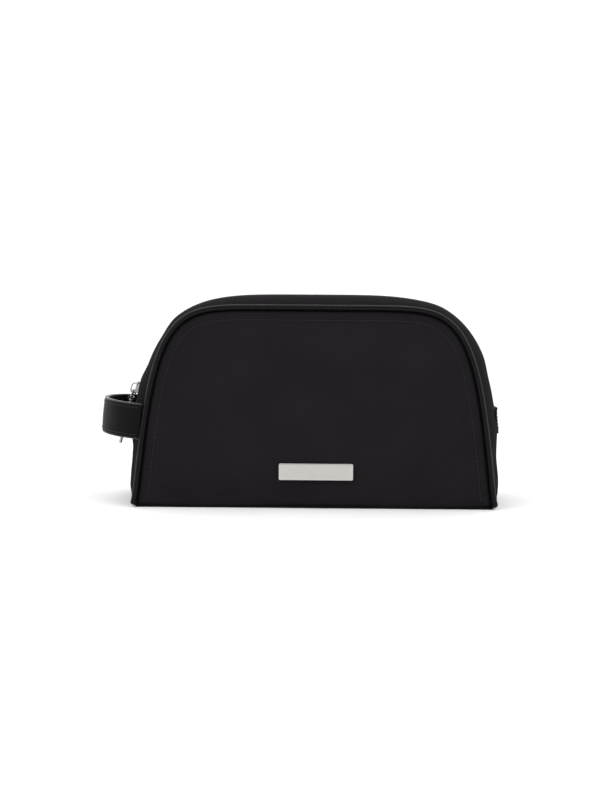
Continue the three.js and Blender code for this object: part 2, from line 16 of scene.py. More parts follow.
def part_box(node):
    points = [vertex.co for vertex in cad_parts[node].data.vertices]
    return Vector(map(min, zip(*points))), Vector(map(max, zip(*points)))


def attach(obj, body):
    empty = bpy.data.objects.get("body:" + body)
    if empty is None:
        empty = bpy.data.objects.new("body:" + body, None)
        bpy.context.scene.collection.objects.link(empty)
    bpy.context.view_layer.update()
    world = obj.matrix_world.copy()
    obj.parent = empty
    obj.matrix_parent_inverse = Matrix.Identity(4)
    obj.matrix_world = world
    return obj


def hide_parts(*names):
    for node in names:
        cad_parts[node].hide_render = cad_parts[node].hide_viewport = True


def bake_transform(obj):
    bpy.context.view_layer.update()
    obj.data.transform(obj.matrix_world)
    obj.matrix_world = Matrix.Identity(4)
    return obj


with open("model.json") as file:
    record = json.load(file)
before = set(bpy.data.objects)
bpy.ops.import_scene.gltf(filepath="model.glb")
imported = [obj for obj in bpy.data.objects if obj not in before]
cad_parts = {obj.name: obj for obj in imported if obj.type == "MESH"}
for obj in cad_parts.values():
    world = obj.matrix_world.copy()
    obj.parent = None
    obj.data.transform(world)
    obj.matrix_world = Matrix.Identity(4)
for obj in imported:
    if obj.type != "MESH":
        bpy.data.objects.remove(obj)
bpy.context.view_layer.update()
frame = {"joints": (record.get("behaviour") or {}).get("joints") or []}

LOG = logging.getLogger("wash_bag")
MM = 0.001
Array = np.ndarray
Path = tuple[np.ndarray, np.ndarray]
Colour = tuple[float, float, float, float]
Item = bpy.types.Object
Node = bpy.types.Node
Socket = bpy.types.NodeSocket


# ------------------------------------------------------------------ measures shared with the frame


def linear(value: float) -> float:
    """Turns one display channel, 0 to 255, into scene-linear light."""
    share = value / 255
    return share / 12.92 if share <= 0.04045 else ((share + 0.055) / 1.055) ** 2.4


def shade(red: float, green: float, blue: float) -> Colour:
    """Gives the scene-linear colour of a display colour, 0 to 255 a channel."""
    return (linear(red), linear(green), linear(blue), 1.0)


def smooth(value: Array | float) -> Array | float:
    """Eases a share from 0 to 1 with flat ends."""
    clipped = np.clip(value, 0, 1)
    return clipped * clipped * (3 - 2 * clipped)


@dataclass(frozen=True)
class Arch:
    """A flattened superellipse seen from the front, in millimetres."""

    half_width: float
    height: float
    top_power: float
    side_power: float
    lean: float
    samples: int = 3001

    @lru_cache(maxsize=None)
    def table(self) -> tuple[Array, Array]:
        """Samples the arch from foot to foot.

        Returns:
            The points as x and z, and the share of the whole length up to each.
        """
        t = np.linspace(0, 1, self.samples)
        climb = 1 - np.abs(2 * t - 1)
        angle = (math.pi / 2) * (1 - (1 - climb * climb) ** 4)
        z = self.height * np.sin(angle) ** (2 / self.top_power)
        x = (self.half_width - self.lean * z) * np.maximum(np.cos(angle), 0) ** (2 / self.side_power)
        points = np.stack([np.where(t < 0.5, -x, x), z], axis=1)
        steps = np.hypot(*np.diff(points, axis=0).T)
        length = np.concatenate([[0], np.cumsum(steps)])
        return points, length / length[-1]

    def at(self, u: Array) -> Array:
        """Gives x and z at shares of the arch's length."""
        points, share = self.table()
        u = np.asarray(u, float)
        return np.stack([np.interp(u, share, points[:, 0]), np.interp(u, share, points[:, 1])], axis=-1)

    def outward(self, u: Array) -> Array:
        """Gives the unit normal in the plane of the arch.

        Args:
            u: Shares of the arch's length.

        Returns:
            Pairs of x and z, pointing out of the bag.
        """
        step = 0.0025
        ahead = self.at(np.minimum(np.asarray(u, float) + step, 1))
        behind = self.at(np.maximum(np.asarray(u, float) - step, 0))
        along = ahead - behind
        along /= np.linalg.norm(along, axis=-1, keepdims=True)
        return np.stack([-along[..., 1], along[..., 0]], axis=-1)

    def share_at(self, height: float) -> float:
        """Gives the share of the length at which the left side reaches a height."""
        points, share = self.table()
        middle = len(share) // 2
        return float(np.interp(height, points[:middle, 1], share[:middle]))


@dataclass(frozen=True)
class BagForm:
    """The bag's own shape in millimetres: the panel's arch, the crown's arch and the depth."""

    panel: Arch = Arch(124.7, 138.9, 4.35, 7.7, 0.11)
    crown: Arch = Arch(132.2, 149.6, 2.32, 4.52, -0.052)
    base_half_depth: float = 48.0
    depth_lean: float = 0.05
    crown_power: float = 2.2
    piping_offset: float = 2.3
    zip_end_height: float = 69.0
    left_sag: float = 2.2
    right_swell: float = 1.6

    def half_depth(self, z: Array | float) -> Array | float:
        """Gives half the depth between the two seams at a height."""
        return self.base_half_depth - self.depth_lean * z

    def seam(self, u: Array) -> Array:
        """Gives the seam line as x and z."""
        return self.panel.at(u) + self.panel.outward(u) * self.piping_offset

    def gusset(self, u: Array, y: Array) -> Array:
        """Gives points on the gusset's outer face.

        Args:
            u: Shares of the way round the arch, from the left foot to the right.
            y: Distances across the depth, front negative, of the same shape.

        Returns:
            The points, in millimetres.
        """
        seam = self.seam(u)
        middle = self.crown.at(u)
        height = middle[..., 1]
        sag = self.left_sag * smooth((height - 86) / 16) * smooth((134 - height) / 14)
        swell = self.right_swell * smooth((height - 90) / 18) * smooth((149 - height) / 10)
        slack = np.where(middle[..., 0] < 0, sag, -swell)
        middle = middle - self.crown.outward(u) * slack[..., None]
        share = np.minimum(np.abs(y) / self.half_depth(seam[..., 1]), 1)
        crown = (1 - share**self.crown_power)[..., None]
        flat = seam * (1 - crown) + middle * crown
        return np.stack([flat[..., 0], y, flat[..., 1]], axis=-1)

    def gusset_normal(self, u: Array, y: Array) -> Array:
        """Gives the gusset's unit normals.

        Args:
            u: Shares of the way round the arch.
            y: Distances across the depth.

        Returns:
            The normals, pointing out of the bag, at the same places as gusset().
        """
        du, dy = 0.004, 0.5
        along = self.gusset(np.minimum(u + du, 1), y) - self.gusset(np.maximum(u - du, 0), y)
        across = self.gusset(u, y + dy) - self.gusset(u, y - dy)
        normal = np.cross(along, across)
        return normal / np.linalg.norm(normal, axis=-1, keepdims=True)

    def off_gusset(self, u: Array, y: Array, distance: Array | float) -> Array:
        """Gives points at a distance outside the gusset's outer face, in millimetres."""
        lift = np.broadcast_to(np.asarray(distance, float), np.shape(y))[..., None]
        return self.gusset(u, y) + self.gusset_normal(u, y) * lift

    @property
    def zip_end(self) -> float:
        """The share of the arch at which the zip's left end lies."""
        return self.crown.share_at(self.zip_end_height)


FORM = BagForm()


class Body(Enum):
    """The frame's bodies."""

    SHELL = "shell"
    FRONT = "front"
    SLIDER = "slider"
    LINK = "link"
    PULL = "pull"


class Bend(Enum):
    """Pieces that cross the mouth's hinge, each with two places on it in metres."""

    GUSSET = ((0.0, -0.008, 0.0), (0.0, -0.048, 0.0))
    STRIP = ((0.0, -0.008, 0.069), (0.0, -0.0307, 0.0888))
    ZIP = ((0.0, 0.0, 0.082), (0.0, 0.0, 0.118))

    def join(self, item: Item) -> Item:
        """Bakes the piece's placement into its mesh."""
        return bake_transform(item)


# ------------------------------------------------------------------ meshes


def new_object(name: str, mesh: bpy.types.Mesh) -> Item:
    """Puts a mesh into the scene as an object at the origin."""
    item = bpy.data.objects.new(name, mesh)
    bpy.context.scene.collection.objects.link(item)
    return item


def run_lengths(points: Array, axis: int) -> Array:
    """Gives the length run along one axis of a grid of points.

    Args:
        points: Rows by columns by three.
        axis: 0 to run along the rows' direction, 1 along the columns'.

    Returns:
        The length up to each point, from zero.
    """
    steps = np.linalg.norm(np.diff(points, axis=axis), axis=-1)
    start = np.zeros_like(np.take(steps, [0], axis=axis))
    return np.cumsum(np.concatenate([start, steps], axis=axis), axis=axis)


def make_mesh(name: str, points: Array, faces: list[list[int]], uv: Array, sharp: float = 50) -> Item:
    """Makes a smooth-shaded mesh object.

    Args:
        name: The piece's name.
        points: Corner places in metres.
        faces: Corner numbers of each face.
        uv: One pair of cloth coordinates, in metres, for each corner.
        sharp: Edges that turn more than this many degrees stay crisp.

    Returns:
        The new object.
    """
    mesh = bpy.data.meshes.new(name)
    mesh.from_pydata(points.tolist(), [], faces)
    mesh.validate()
    layer = mesh.uv_layers.new(name="cloth")
    corners = np.zeros(len(mesh.loops), np.int32)
    mesh.loops.foreach_get("vertex_index", corners)
    layer.data.foreach_set("uv", uv[corners].astype(np.float32).ravel())
    item = new_object(name, mesh)
    outward(item)
    mesh.shade_smooth()
    mesh.set_sharp_from_angle(angle=math.radians(sharp))
    return item


def outward(item: Item) -> None:
    """Turns a closed mesh's faces so that they point out.

    Args:
        item: The object, whose mesh may be inside out as a whole.
    """
    mesh = item.data
    mesh.calc_loop_triangles()
    co = np.zeros(len(mesh.vertices) * 3)
    mesh.vertices.foreach_get("co", co)
    co = co.reshape(-1, 3)
    tri = np.zeros(len(mesh.loop_triangles) * 3, np.int32)
    mesh.loop_triangles.foreach_get("vertices", tri)
    a, b, c = (co[tri.reshape(-1, 3)[:, k]] for k in range(3))
    if np.einsum("ij,ij->i", a, np.cross(b, c)).sum() < 0:
        mesh.flip_normals()


def slab(name: str, outer: Array, inner: Array, sharp: float = 50) -> Item:
    """Closes two grids of points with the same layout into one thin body.

    Args:
        name: The piece's name.
        outer: Outer points in metres, rows by columns by three.
        inner: Inner points, laid out in the same way.
        sharp: Edges that turn more than this many degrees stay crisp.

    Returns:
        The new object.
    """
    nu, nv = outer.shape[:2]
    layer = nu * nv
    number = np.arange(layer).reshape(nu, nv)
    a, b, c, d = number[:-1, :-1], number[1:, :-1], number[1:, 1:], number[:-1, 1:]
    top = np.stack([a, b, c, d], axis=-1).reshape(-1, 4)
    under = np.stack([a, d, c, b], axis=-1).reshape(-1, 4) + layer
    faces = top.tolist() + under.tolist()
    rim = np.concatenate([number[:, 0], number[-1, 1:], number[-2::-1, -1], number[0, -2:0:-1]])
    following = np.roll(rim, -1)
    faces += np.stack([rim, rim + layer, following + layer, following], axis=-1).tolist()
    uv = np.stack([run_lengths(outer, 0), run_lengths(outer, 1)], axis=-1).reshape(-1, 2)
    points = np.concatenate([outer.reshape(-1, 3), inner.reshape(-1, 3)])
    return make_mesh(name, points, faces, np.concatenate([uv, uv]), sharp)


def ring_faces(levels: int, count: int, closed: bool = False) -> list[list[int]]:
    """Joins rings of corners, each to the next.

    Args:
        levels: How many rings there are.
        count: How many corners each ring has.
        closed: Whether the last ring joins the first; if not, both ends get a cap.

    Returns:
        Corner numbers of each face.
    """
    number = np.arange(levels * count).reshape(levels, count)
    ahead = np.roll(number, -1, axis=0) if closed else number[1:]
    here = number if closed else number[:-1]
    walls = np.stack([here, ahead, np.roll(ahead, -1, axis=1), np.roll(here, -1, axis=1)], axis=-1)
    faces = walls.reshape(-1, 4).tolist()
    return faces if closed else faces + [number[0].tolist(), number[-1, ::-1].tolist()]


def sweep(name: str, rings: Array, sharp: float = 50) -> Item:
    """Joins closed rings of points, one after another, and caps both ends.

    Args:
        name: The piece's name.
        rings: Ring number by point number by three, in metres.
        sharp: Edges that turn more than this many degrees stay crisp.

    Returns:
        The new object.
    """
    uv = np.stack([run_lengths(rings, 0), run_lengths(rings, 1)], axis=-1).reshape(-1, 2)
    return make_mesh(name, rings.reshape(-1, 3), ring_faces(*rings.shape[:2]), uv, sharp)


def spread(along: Array, section: Array) -> tuple[Array, Array, Array]:
    """Repeats a section at every place along a piece.

    Args:
        along: The places along the piece.
        section: Pairs of place across and height.

    Returns:
        The place along, the place across and the height of each corner, place by place.
    """
    shape = (len(along), len(section))
    return tuple(np.broadcast_to(part, shape) for part in (along[:, None], section[:, 0], section[:, 1]))


def rounded_section(
    low: float, high: float, under: float, over: float, radius: float, runs: int = 10
) -> Array:
    """Makes a rectangle with rounded corners, as a closed loop.

    Args:
        low: Lowest place across.
        high: Highest place across.
        under: Lowest height.
        over: Greatest height.
        radius: Radius of the corners.
        runs: Steps along each of the two long sides.

    Returns:
        Pairs of place across and height.
    """
    arc = np.linspace(0, math.pi / 2, 4)
    corners = [(high, over, 0), (low, over, 1), (low, under, 2), (high, under, 3)]
    loop: list[tuple[float, float]] = []
    for across, height, turn in corners:
        cx = across - radius if across == high else across + radius
        cz = height - radius if height == over else height + radius
        for angle in arc + turn * math.pi / 2:
            loop.append((cx + radius * math.cos(angle), cz + radius * math.sin(angle)))
        if turn in (0, 2):
            start = loop[-1]
            end = low + radius if turn == 0 else high - radius
            for step in range(1, runs):
                loop.append((start[0] + (end - start[0]) * step / runs, start[1]))
    return np.array(loop)


@dataclass
class Welded:
    """A part gathered from several closed shapes, in millimetres."""

    points: list[Array] = field(default_factory=list)
    faces: list[list[int]] = field(default_factory=list)
    count: int = 0

    def add(self, points: Array, faces: list[list[int]]) -> None:
        """Adds one closed shape."""
        self.points.append(points)
        self.faces += [[corner + self.count for corner in face] for face in faces]
        self.count += len(points)

    def add_rings(self, rings: Array, closed: bool = False) -> None:
        """Adds a shape made of rings, capped at its ends or closed on itself."""
        faces = [face[::-1] for face in ring_faces(*rings.shape[:2], closed)]
        self.add(rings.reshape(-1, 3), faces)

    def add_box(self, low: tuple[float, float, float], high: tuple[float, float, float]) -> None:
        """Adds a box between its lowest and its highest corner."""
        corners = [(x, y, z) for x in (low[0], high[0]) for y in (low[1], high[1]) for z in (low[2], high[2])]
        quads = [(0, 1, 3, 2), (4, 6, 7, 5), (0, 4, 5, 1), (2, 3, 7, 6), (0, 2, 6, 4), (1, 5, 7, 3)]
        self.add(np.array(corners), [list(quad) for quad in quads])


def bevelled(item: Item, width: float, segments: int = 3, angle: float = 35) -> Item:
    """Rounds a part's hard edges with a bevel that stays live.

    Args:
        item: The part.
        width: The bevel's width, in metres.
        segments: Steps across the bevel.
        angle: Only edges that turn more than this many degrees are rounded.

    Returns:
        The same object.
    """
    modifier = item.modifiers.new("edges", "BEVEL")
    modifier.width = width
    modifier.segments = segments
    modifier.limit_method = "ANGLE"
    modifier.angle_limit = math.radians(angle)
    modifier.harden_normals = False
    return item


def applied(item: Item) -> Item:
    """Turns an object's modifiers into plain mesh.

    Args:
        item: The object.

    Returns:
        The same object, with no modifier left.
    """
    graph = bpy.context.evaluated_depsgraph_get()
    mesh = bpy.data.meshes.new_from_object(item.evaluated_get(graph))
    item.modifiers.clear()
    item.data = mesh
    return item


# ------------------------------------------------------------------ finishes


class Nodes:
    """Writes a material's node tree, left to right."""

    def __init__(self, name: str) -> None:
        """Starts an empty material with a Principled shader."""
        self.material = bpy.data.materials.new(name)
        self.material.use_nodes = True
        self.tree = self.material.node_tree
        self.tree.nodes.clear()
        self.shader = self.add("ShaderNodeBsdfPrincipled")
        output = self.add("ShaderNodeOutputMaterial")
        self.tree.links.new(self.shader.outputs[0], output.inputs["Surface"])

    def add(self, kind: str, **settings: object) -> Node:
        """Adds a node and sets its own properties."""
        node = self.tree.nodes.new(kind)
        for key, value in settings.items():
            setattr(node, key, value)
        return node

    def feed(self, node: Node, **inputs: object) -> Node:
        """Sets or links a node's inputs by name, with _ for a blank."""
        for key, value in inputs.items():
            socket = node.inputs[key.replace("_", " ")]
            if isinstance(value, Socket):
                self.tree.links.new(value, socket)
            else:
                socket.default_value = value
        return node

    def math(self, operation: str, first: object, second: object = 0.0) -> Socket:
        """Adds a Math node.

        Args:
            operation: Its operation.
            first: A value or a socket.
            second: A value or a socket.

        Returns:
            Its result.
        """
        node = self.add("ShaderNodeMath", operation=operation)
        for socket, value in zip(node.inputs, (first, second)):
            if isinstance(value, Socket):
                self.tree.links.new(value, socket)
            else:
                socket.default_value = value
        return node.outputs[0]

    def total(self, *parts: tuple[Socket, float]) -> Socket:
        """Adds up values.

        Args:
            *parts: Each value with its weight.

        Returns:
            The sum of the weighted values.
        """
        weighed = [self.math("MULTIPLY", value, weight) if weight != 1 else value for value, weight in parts]
        result = weighed[0]
        for value in weighed[1:]:
            result = self.math("ADD", result, value)
        return result

    def ramp(self, factor: Socket, low: object, high: object) -> Socket:
        """Mixes two colours.

        Args:
            factor: 0 for the first colour and 1 for the second.
            low: The first colour.
            high: The second colour.

        Returns:
            The mixed colour.
        """
        node = self.add("ShaderNodeMix", data_type="RGBA")
        self.tree.links.new(factor, node.inputs["Factor"])
        node.inputs[6].default_value = low
        node.inputs[7].default_value = high
        return node.outputs[2]

    def between(self, factor: Socket, low: float, high: float) -> Socket:
        """Maps a factor from 0 to 1 onto a range."""
        node = self.add("ShaderNodeMapRange")
        self.feed(node, Value=factor)
        node.inputs["To Min"].default_value = low
        node.inputs["To Max"].default_value = high
        return node.outputs[0]

    def noise(self, place: Socket, scale: float, detail: float = 3) -> Socket:
        """Adds a noise texture and gives its factor."""
        node = self.add("ShaderNodeTexNoise")
        self.feed(node, Vector=place, Scale=scale, Detail=detail)
        return node.outputs[0]

    def bands(self, place: Socket, pitch: float, turn: float, wobble: float = 0.0) -> Socket:
        """Adds even bands across a place.

        Args:
            place: The coordinates, in metres.
            pitch: The distance from band to band, in metres.
            turn: The bands' direction, in degrees from the first coordinate.
            wobble: How unevenly the bands run.

        Returns:
            The bands' height, from 0 to 1.
        """
        mapping = self.add("ShaderNodeMapping")
        self.feed(mapping, Vector=place)
        mapping.inputs["Rotation"].default_value = (0, 0, math.radians(turn))
        node = self.add("ShaderNodeTexWave")
        self.feed(node, Vector=mapping.outputs[0], Scale=math.pi / 10 / pitch, Distortion=wobble)
        node.inputs["Detail Scale"].default_value = 1.2
        return node.outputs["Fac"]

    def bump(self, height: Socket, distance: float, strength: float = 1.0) -> None:
        """Gives the shader a relief of a depth in metres."""
        node = self.add("ShaderNodeBump")
        self.feed(node, Height=height, Strength=strength, Distance=distance)
        self.feed(self.shader, Normal=node.outputs[0])

    def cloth(self) -> Socket:
        """Gives the piece's own cloth coordinates, in metres."""
        return self.add("ShaderNodeUVMap", uv_map="cloth").outputs[0]

    def place(self) -> Socket:
        """Gives the place in the object, in metres."""
        return self.add("ShaderNodeTexCoord").outputs["Object"]


@dataclass(frozen=True)
class Finish:
    """A finish with a name; each kind writes its own nodes once."""

    name: str

    def write(self, nodes: Nodes) -> None:
        """Writes the finish's nodes."""
        raise NotImplementedError

    def material(self) -> bpy.types.Material:
        """Gives the material, made at its first use."""
        found = bpy.data.materials.get(self.name)
        if found:
            return found
        nodes = Nodes(self.name)
        self.write(nodes)
        return nodes.material


@dataclass(frozen=True)
class Twill(Finish):
    """Fine twill cloth, with its threads in the cloth's own coordinates."""

    light: Colour
    dark: Colour
    thread: float = 0.00042
    relief: float = 0.00006
    roughness: float = 0.8
    gloss: float = 0.02

    def write(self, nodes: Nodes) -> None:
        """Writes warp, weft and twill lines, with slow changes of tone."""
        cloth = nodes.cloth()
        warp = nodes.bands(cloth, self.thread, 0, 0.4)
        weft = nodes.bands(cloth, self.thread * 1.15, 90, 0.4)
        twill = nodes.bands(cloth, self.thread * 2.1, 32, 0.8)
        height = nodes.total((warp, 0.275), (weft, 0.275), (twill, 0.45))
        patches = nodes.noise(nodes.place(), 28, 4)
        slubs = nodes.noise(cloth, 900, 2)
        tone = nodes.total((patches, 0.62), (slubs, 0.372))
        mixed = nodes.total((tone, 0.7), (height, 0.3))
        nodes.feed(nodes.shader, Base_Color=nodes.ramp(mixed, self.dark, self.light))
        nodes.feed(nodes.shader, Roughness=nodes.between(tone, self.roughness - 0.06, self.roughness + 0.08))
        nodes.shader.inputs["Specular IOR Level"].default_value = self.gloss
        nodes.bump(nodes.total((height, 1), (slubs, 0.4)), self.relief)


@dataclass(frozen=True)
class Tape(Finish):
    """Woven zip tape or grosgrain: ribs across and a herringbone along."""

    light: Colour
    dark: Colour
    rib: float = 0.0007
    relief: float = 0.00012

    def write(self, nodes: Nodes) -> None:
        """Writes ribs and slanted weave lines."""
        cloth = nodes.cloth()
        ribs = nodes.bands(cloth, self.rib, 0, 0.3)
        left = nodes.bands(cloth, self.rib * 1.4, 40, 0.3)
        right = nodes.bands(cloth, self.rib * 1.4, -40, 0.3)
        height = nodes.total((ribs, 0.6), (nodes.math("MAXIMUM", left, right), 0.4))
        fuzz = nodes.noise(cloth, 1500, 3)
        tone = nodes.total((height, 0.6), (fuzz, 0.4))
        nodes.feed(nodes.shader, Base_Color=nodes.ramp(tone, self.dark, self.light))
        nodes.feed(nodes.shader, Roughness=nodes.between(fuzz, 0.7, 0.9))
        nodes.shader.inputs["Sheen Weight"].default_value = 0.02
        nodes.shader.inputs["Specular IOR Level"].default_value = 0.12
        nodes.bump(nodes.total((height, 1), (fuzz, 0.3)), self.relief)


@dataclass(frozen=True)
class Leather(Finish):
    """Coated leather-look: fine pebbled grain, creases and a little polish on the high spots."""

    light: Colour
    dark: Colour
    grain: float = 0.0006
    relief: float = 0.00006
    roughness: float = 0.42
    gloss: float = 0.15

    def write(self, nodes: Nodes) -> None:
        """Writes cells of grain, fine creases and worn high spots."""
        cloth = nodes.cloth()
        cells = nodes.add("ShaderNodeTexVoronoi", feature="SMOOTH_F1")
        nodes.feed(cells, Vector=cloth, Scale=1 / self.grain)
        creases = nodes.noise(cloth, 0.35 / self.grain, 5)
        patches = nodes.noise(nodes.place(), 45, 3)
        pebble = nodes.math("SUBTRACT", 1.0, cells.outputs["Distance"])
        height = nodes.total((pebble, 0.6), (creases, 0.5))
        tone = nodes.total((height, 0.5), (patches, 0.5))
        nodes.feed(nodes.shader, Base_Color=nodes.ramp(tone, self.dark, self.light))
        nodes.feed(nodes.shader, Roughness=nodes.between(tone, self.roughness + 0.1, self.roughness - 0.06))
        nodes.shader.inputs["Specular IOR Level"].default_value = self.gloss
        nodes.bump(height, self.relief)


class Brush(Enum):
    """The direction in which a metal was brushed."""

    NONE = 0
    ALONG = 1


@dataclass(frozen=True)
class Metal(Finish):
    """Plated metal, polished or brushed, with faint scratches and dulled patches."""

    colour: Colour
    dull: Colour
    roughness: float = 0.14
    brush: Brush = Brush.NONE

    def write(self, nodes: Nodes) -> None:
        """Writes the plating's tone, smears and scratches."""
        place = nodes.place()
        smears = nodes.noise(place, 320, 4)
        streak = nodes.add("ShaderNodeMapping")
        nodes.feed(streak, Vector=place)
        along = (60, 2600, 9000) if self.brush is Brush.ALONG else (700, 700, 2600)
        streak.inputs["Scale"].default_value = along
        lines = nodes.noise(streak.outputs[0], 1.0, 3)
        nodes.feed(nodes.shader, Base_Color=nodes.ramp(smears, self.colour, self.dull), Metallic=1.0)
        spread = 0.12 if self.brush is Brush.ALONG else 0.06
        dulled = nodes.between(smears, self.roughness, self.roughness + spread)
        nodes.feed(nodes.shader, Roughness=nodes.total((dulled, 1), (lines, 0.08)))
        nodes.bump(lines, 0.000012 if self.brush is Brush.ALONG else 0.000004)


@dataclass(frozen=True)
class Nylon(Finish):
    """Moulded or drawn nylon, such as the zip's coil, with a soft shine."""

    light: Colour
    dark: Colour
    roughness: float = 0.38

    def write(self, nodes: Nodes) -> None:
        """Writes a slow change of tone and fine drawing lines."""
        place = nodes.place()
        patches = nodes.noise(place, 900, 3)
        nodes.feed(nodes.shader, Base_Color=nodes.ramp(patches, self.dark, self.light))
        dulled = nodes.between(patches, self.roughness - 0.08, self.roughness + 0.1)
        nodes.feed(nodes.shader, Roughness=dulled)
        nodes.bump(nodes.noise(place, 4200, 2), 0.00002)


@dataclass(frozen=True)
class Thread(Finish):
    """Twisted sewing thread."""

    light: Colour
    dark: Colour

    def write(self, nodes: Nodes) -> None:
        """Writes the twist of the thread and its fuzz."""
        place = nodes.place()
        twist = nodes.bands(place, 0.0003, 45, 1.5)
        fuzz = nodes.noise(place, 2600, 2)
        tone = nodes.total((twist, 0.5), (fuzz, 0.5))
        nodes.feed(nodes.shader, Base_Color=nodes.ramp(tone, self.dark, self.light))
        nodes.feed(nodes.shader, Roughness=nodes.between(fuzz, 0.45, 0.7))
        nodes.bump(tone, 0.00008)


@dataclass(frozen=True)
class EdgePaint(Finish):
    """Thick edge paint on cut leather: smooth, slightly wavy and glossy."""

    light: Colour
    dark: Colour

    def write(self, nodes: Nodes) -> None:
        """Writes the paint's slow waves and tone."""
        place = nodes.place()
        waves = nodes.noise(place, 420, 2)
        nodes.feed(nodes.shader, Base_Color=nodes.ramp(waves, self.dark, self.light))
        nodes.feed(nodes.shader, Roughness=nodes.between(waves, 0.24, 0.4))
        nodes.bump(waves, 0.0001)


@dataclass(frozen=True)
class Backdrop(Finish):
    """The pale floor."""

    def write(self, nodes: Nodes) -> None:
        """Writes a plain pale matt surface with a hardly visible tone."""
        tone = nodes.noise(nodes.place(), 2.0, 2)
        nodes.feed(nodes.shader, Base_Color=nodes.ramp(tone, (0.93, 0.93, 0.93, 1), (0.95, 0.95, 0.95, 1)))
        nodes.shader.inputs["Roughness"].default_value = 0.9
        nodes.shader.inputs["Specular IOR Level"].default_value = 0.1


CLOTH = Twill("outer_twill", shade(38, 35, 39), shade(20, 18, 21))
# The outer twill again, painted darker for the zip band and the sides: painted shade that holds down the
# extra light these parts catch; the real cloth is the same as the panels'.
SHADED_BAND_CLOTH = Twill("band_twill_painted_shade", shade(32, 30, 32), shade(17, 15, 17))
BASE_CLOTH = Twill("base_twill", shade(30, 29, 31), shade(16, 15, 17), thread=0.0006, relief=0.0001)
LINER = Twill(
    "lining_cloth", shade(66, 66, 69), shade(44, 44, 47), thread=0.0003, relief=0.00003, roughness=0.45
)
PIPING_SKIN = Leather(
    "piping_skin", shade(14, 13, 14), shade(5, 4, 5), grain=0.00045, roughness=0.26, gloss=0.13
)
STRAP_SKIN = Leather(
    "strap_skin", shade(21, 19, 21), shade(11, 10, 11), relief=0.00008, roughness=0.45, gloss=0.05
)
TAB_TAPE = Tape("tab_grosgrain", shade(44, 42, 33), shade(17, 16, 12), rib=0.0011, relief=0.0002)
ZIP_TAPE = Tape("zip_tape_weave", shade(22, 21, 23), shade(8, 8, 9))
COIL = Nylon("coil_nylon", shade(26, 25, 27), shade(10, 9, 11))
# Thread darker than the cloth: its own dark tone plus painted shade for the shadows of the needle holes.
SHADED_THREAD = Thread("thread_painted_shade", shade(19, 18, 20), shade(5, 5, 6))
EDGE = EdgePaint("edge_paint", shade(22, 21, 22), shade(10, 9, 10))
CHROME = Metal("polished_nickel", (0.46, 0.46, 0.47, 1), (0.32, 0.32, 0.34, 1))
SATIN = Metal("satin_nickel", (0.628, 0.613, 0.585, 1), (0.583, 0.569, 0.543, 1), 0.3, Brush.ALONG)
FLOOR = Backdrop("pale_floor")


def dress(item: Item, finish: Finish, slot: str, *nodes: str) -> Item:
    """Gives a piece its finish and hides the nodes it stands for.

    Args:
        item: The piece.
        finish: The finish of the whole piece.
        slot: The record's material slot; not used.
        *nodes: The CAD nodes that the piece replaces.

    Returns:
        The same object.
    """
    item.data.materials.clear()
    item.data.materials.append(finish.material())
    if nodes:
        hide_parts(*nodes)
    LOG.info("%s: %d faces", item.name, len(item.data.polygons))
    return item


# ------------------------------------------------------------------ geometry nodes


class Tree:
    """Writes a geometry node tree with named inputs."""

    def __init__(self, name: str) -> None:
        """Starts a tree with a geometry input and output."""
        self.group = bpy.data.node_groups.new(name, "GeometryNodeTree")
        self.group.interface.new_socket("Geometry", in_out="INPUT", socket_type="NodeSocketGeometry")
        self.group.interface.new_socket("Geometry", in_out="OUTPUT", socket_type="NodeSocketGeometry")
        self.names: dict[str, str] = {}

    def size(self, name: str, kind: str = "NodeSocketFloat") -> None:
        """Adds a named input."""
        socket = self.group.interface.new_socket(name, in_out="INPUT", socket_type=kind)
        self.names[name] = socket.identifier

    def open(self) -> None:
        """Adds the input and output nodes once every input has its name."""
        self.start = self.group.nodes.new("NodeGroupInput")
        self.end = self.group.nodes.new("NodeGroupOutput")

    def add(self, kind: str, inputs: dict[object, object] | None = None, **settings: object) -> Node:
        """Adds a node, sets its properties, and sets or links its inputs.

        Args:
            kind: The node's type.
            inputs: Values or sockets by the input's name or number.
            **settings: The node's own properties.

        Returns:
            The node.
        """
        node = self.group.nodes.new(kind)
        for key, value in settings.items():
            setattr(node, key, value)
        for key, value in (inputs or {}).items():
            if isinstance(value, Socket):
                self.group.links.new(value, node.inputs[key])
            else:
                node.inputs[key].default_value = value
        return node

    def math(self, operation: str, first: object, second: object = 0.0) -> Socket:
        """Adds a Math node and gives its result."""
        return self.add("ShaderNodeMath", {0: first, 1: second}, operation=operation).outputs[0]

    def finish(self, instances: Socket) -> None:
        """Realizes the instances, smooths them and gives them their material.

        Args:
            instances: The row.
        """
        real = self.add("GeometryNodeRealizeInstances", {"Geometry": instances})
        smoothed = self.add("GeometryNodeSetShadeSmooth", {"Geometry": real.outputs[0]})
        painted = self.add(
            "GeometryNodeSetMaterial",
            {"Geometry": smoothed.outputs[0], "Material": self.start.outputs["Material"]},
        )
        self.group.links.new(painted.outputs[0], self.end.inputs[0])


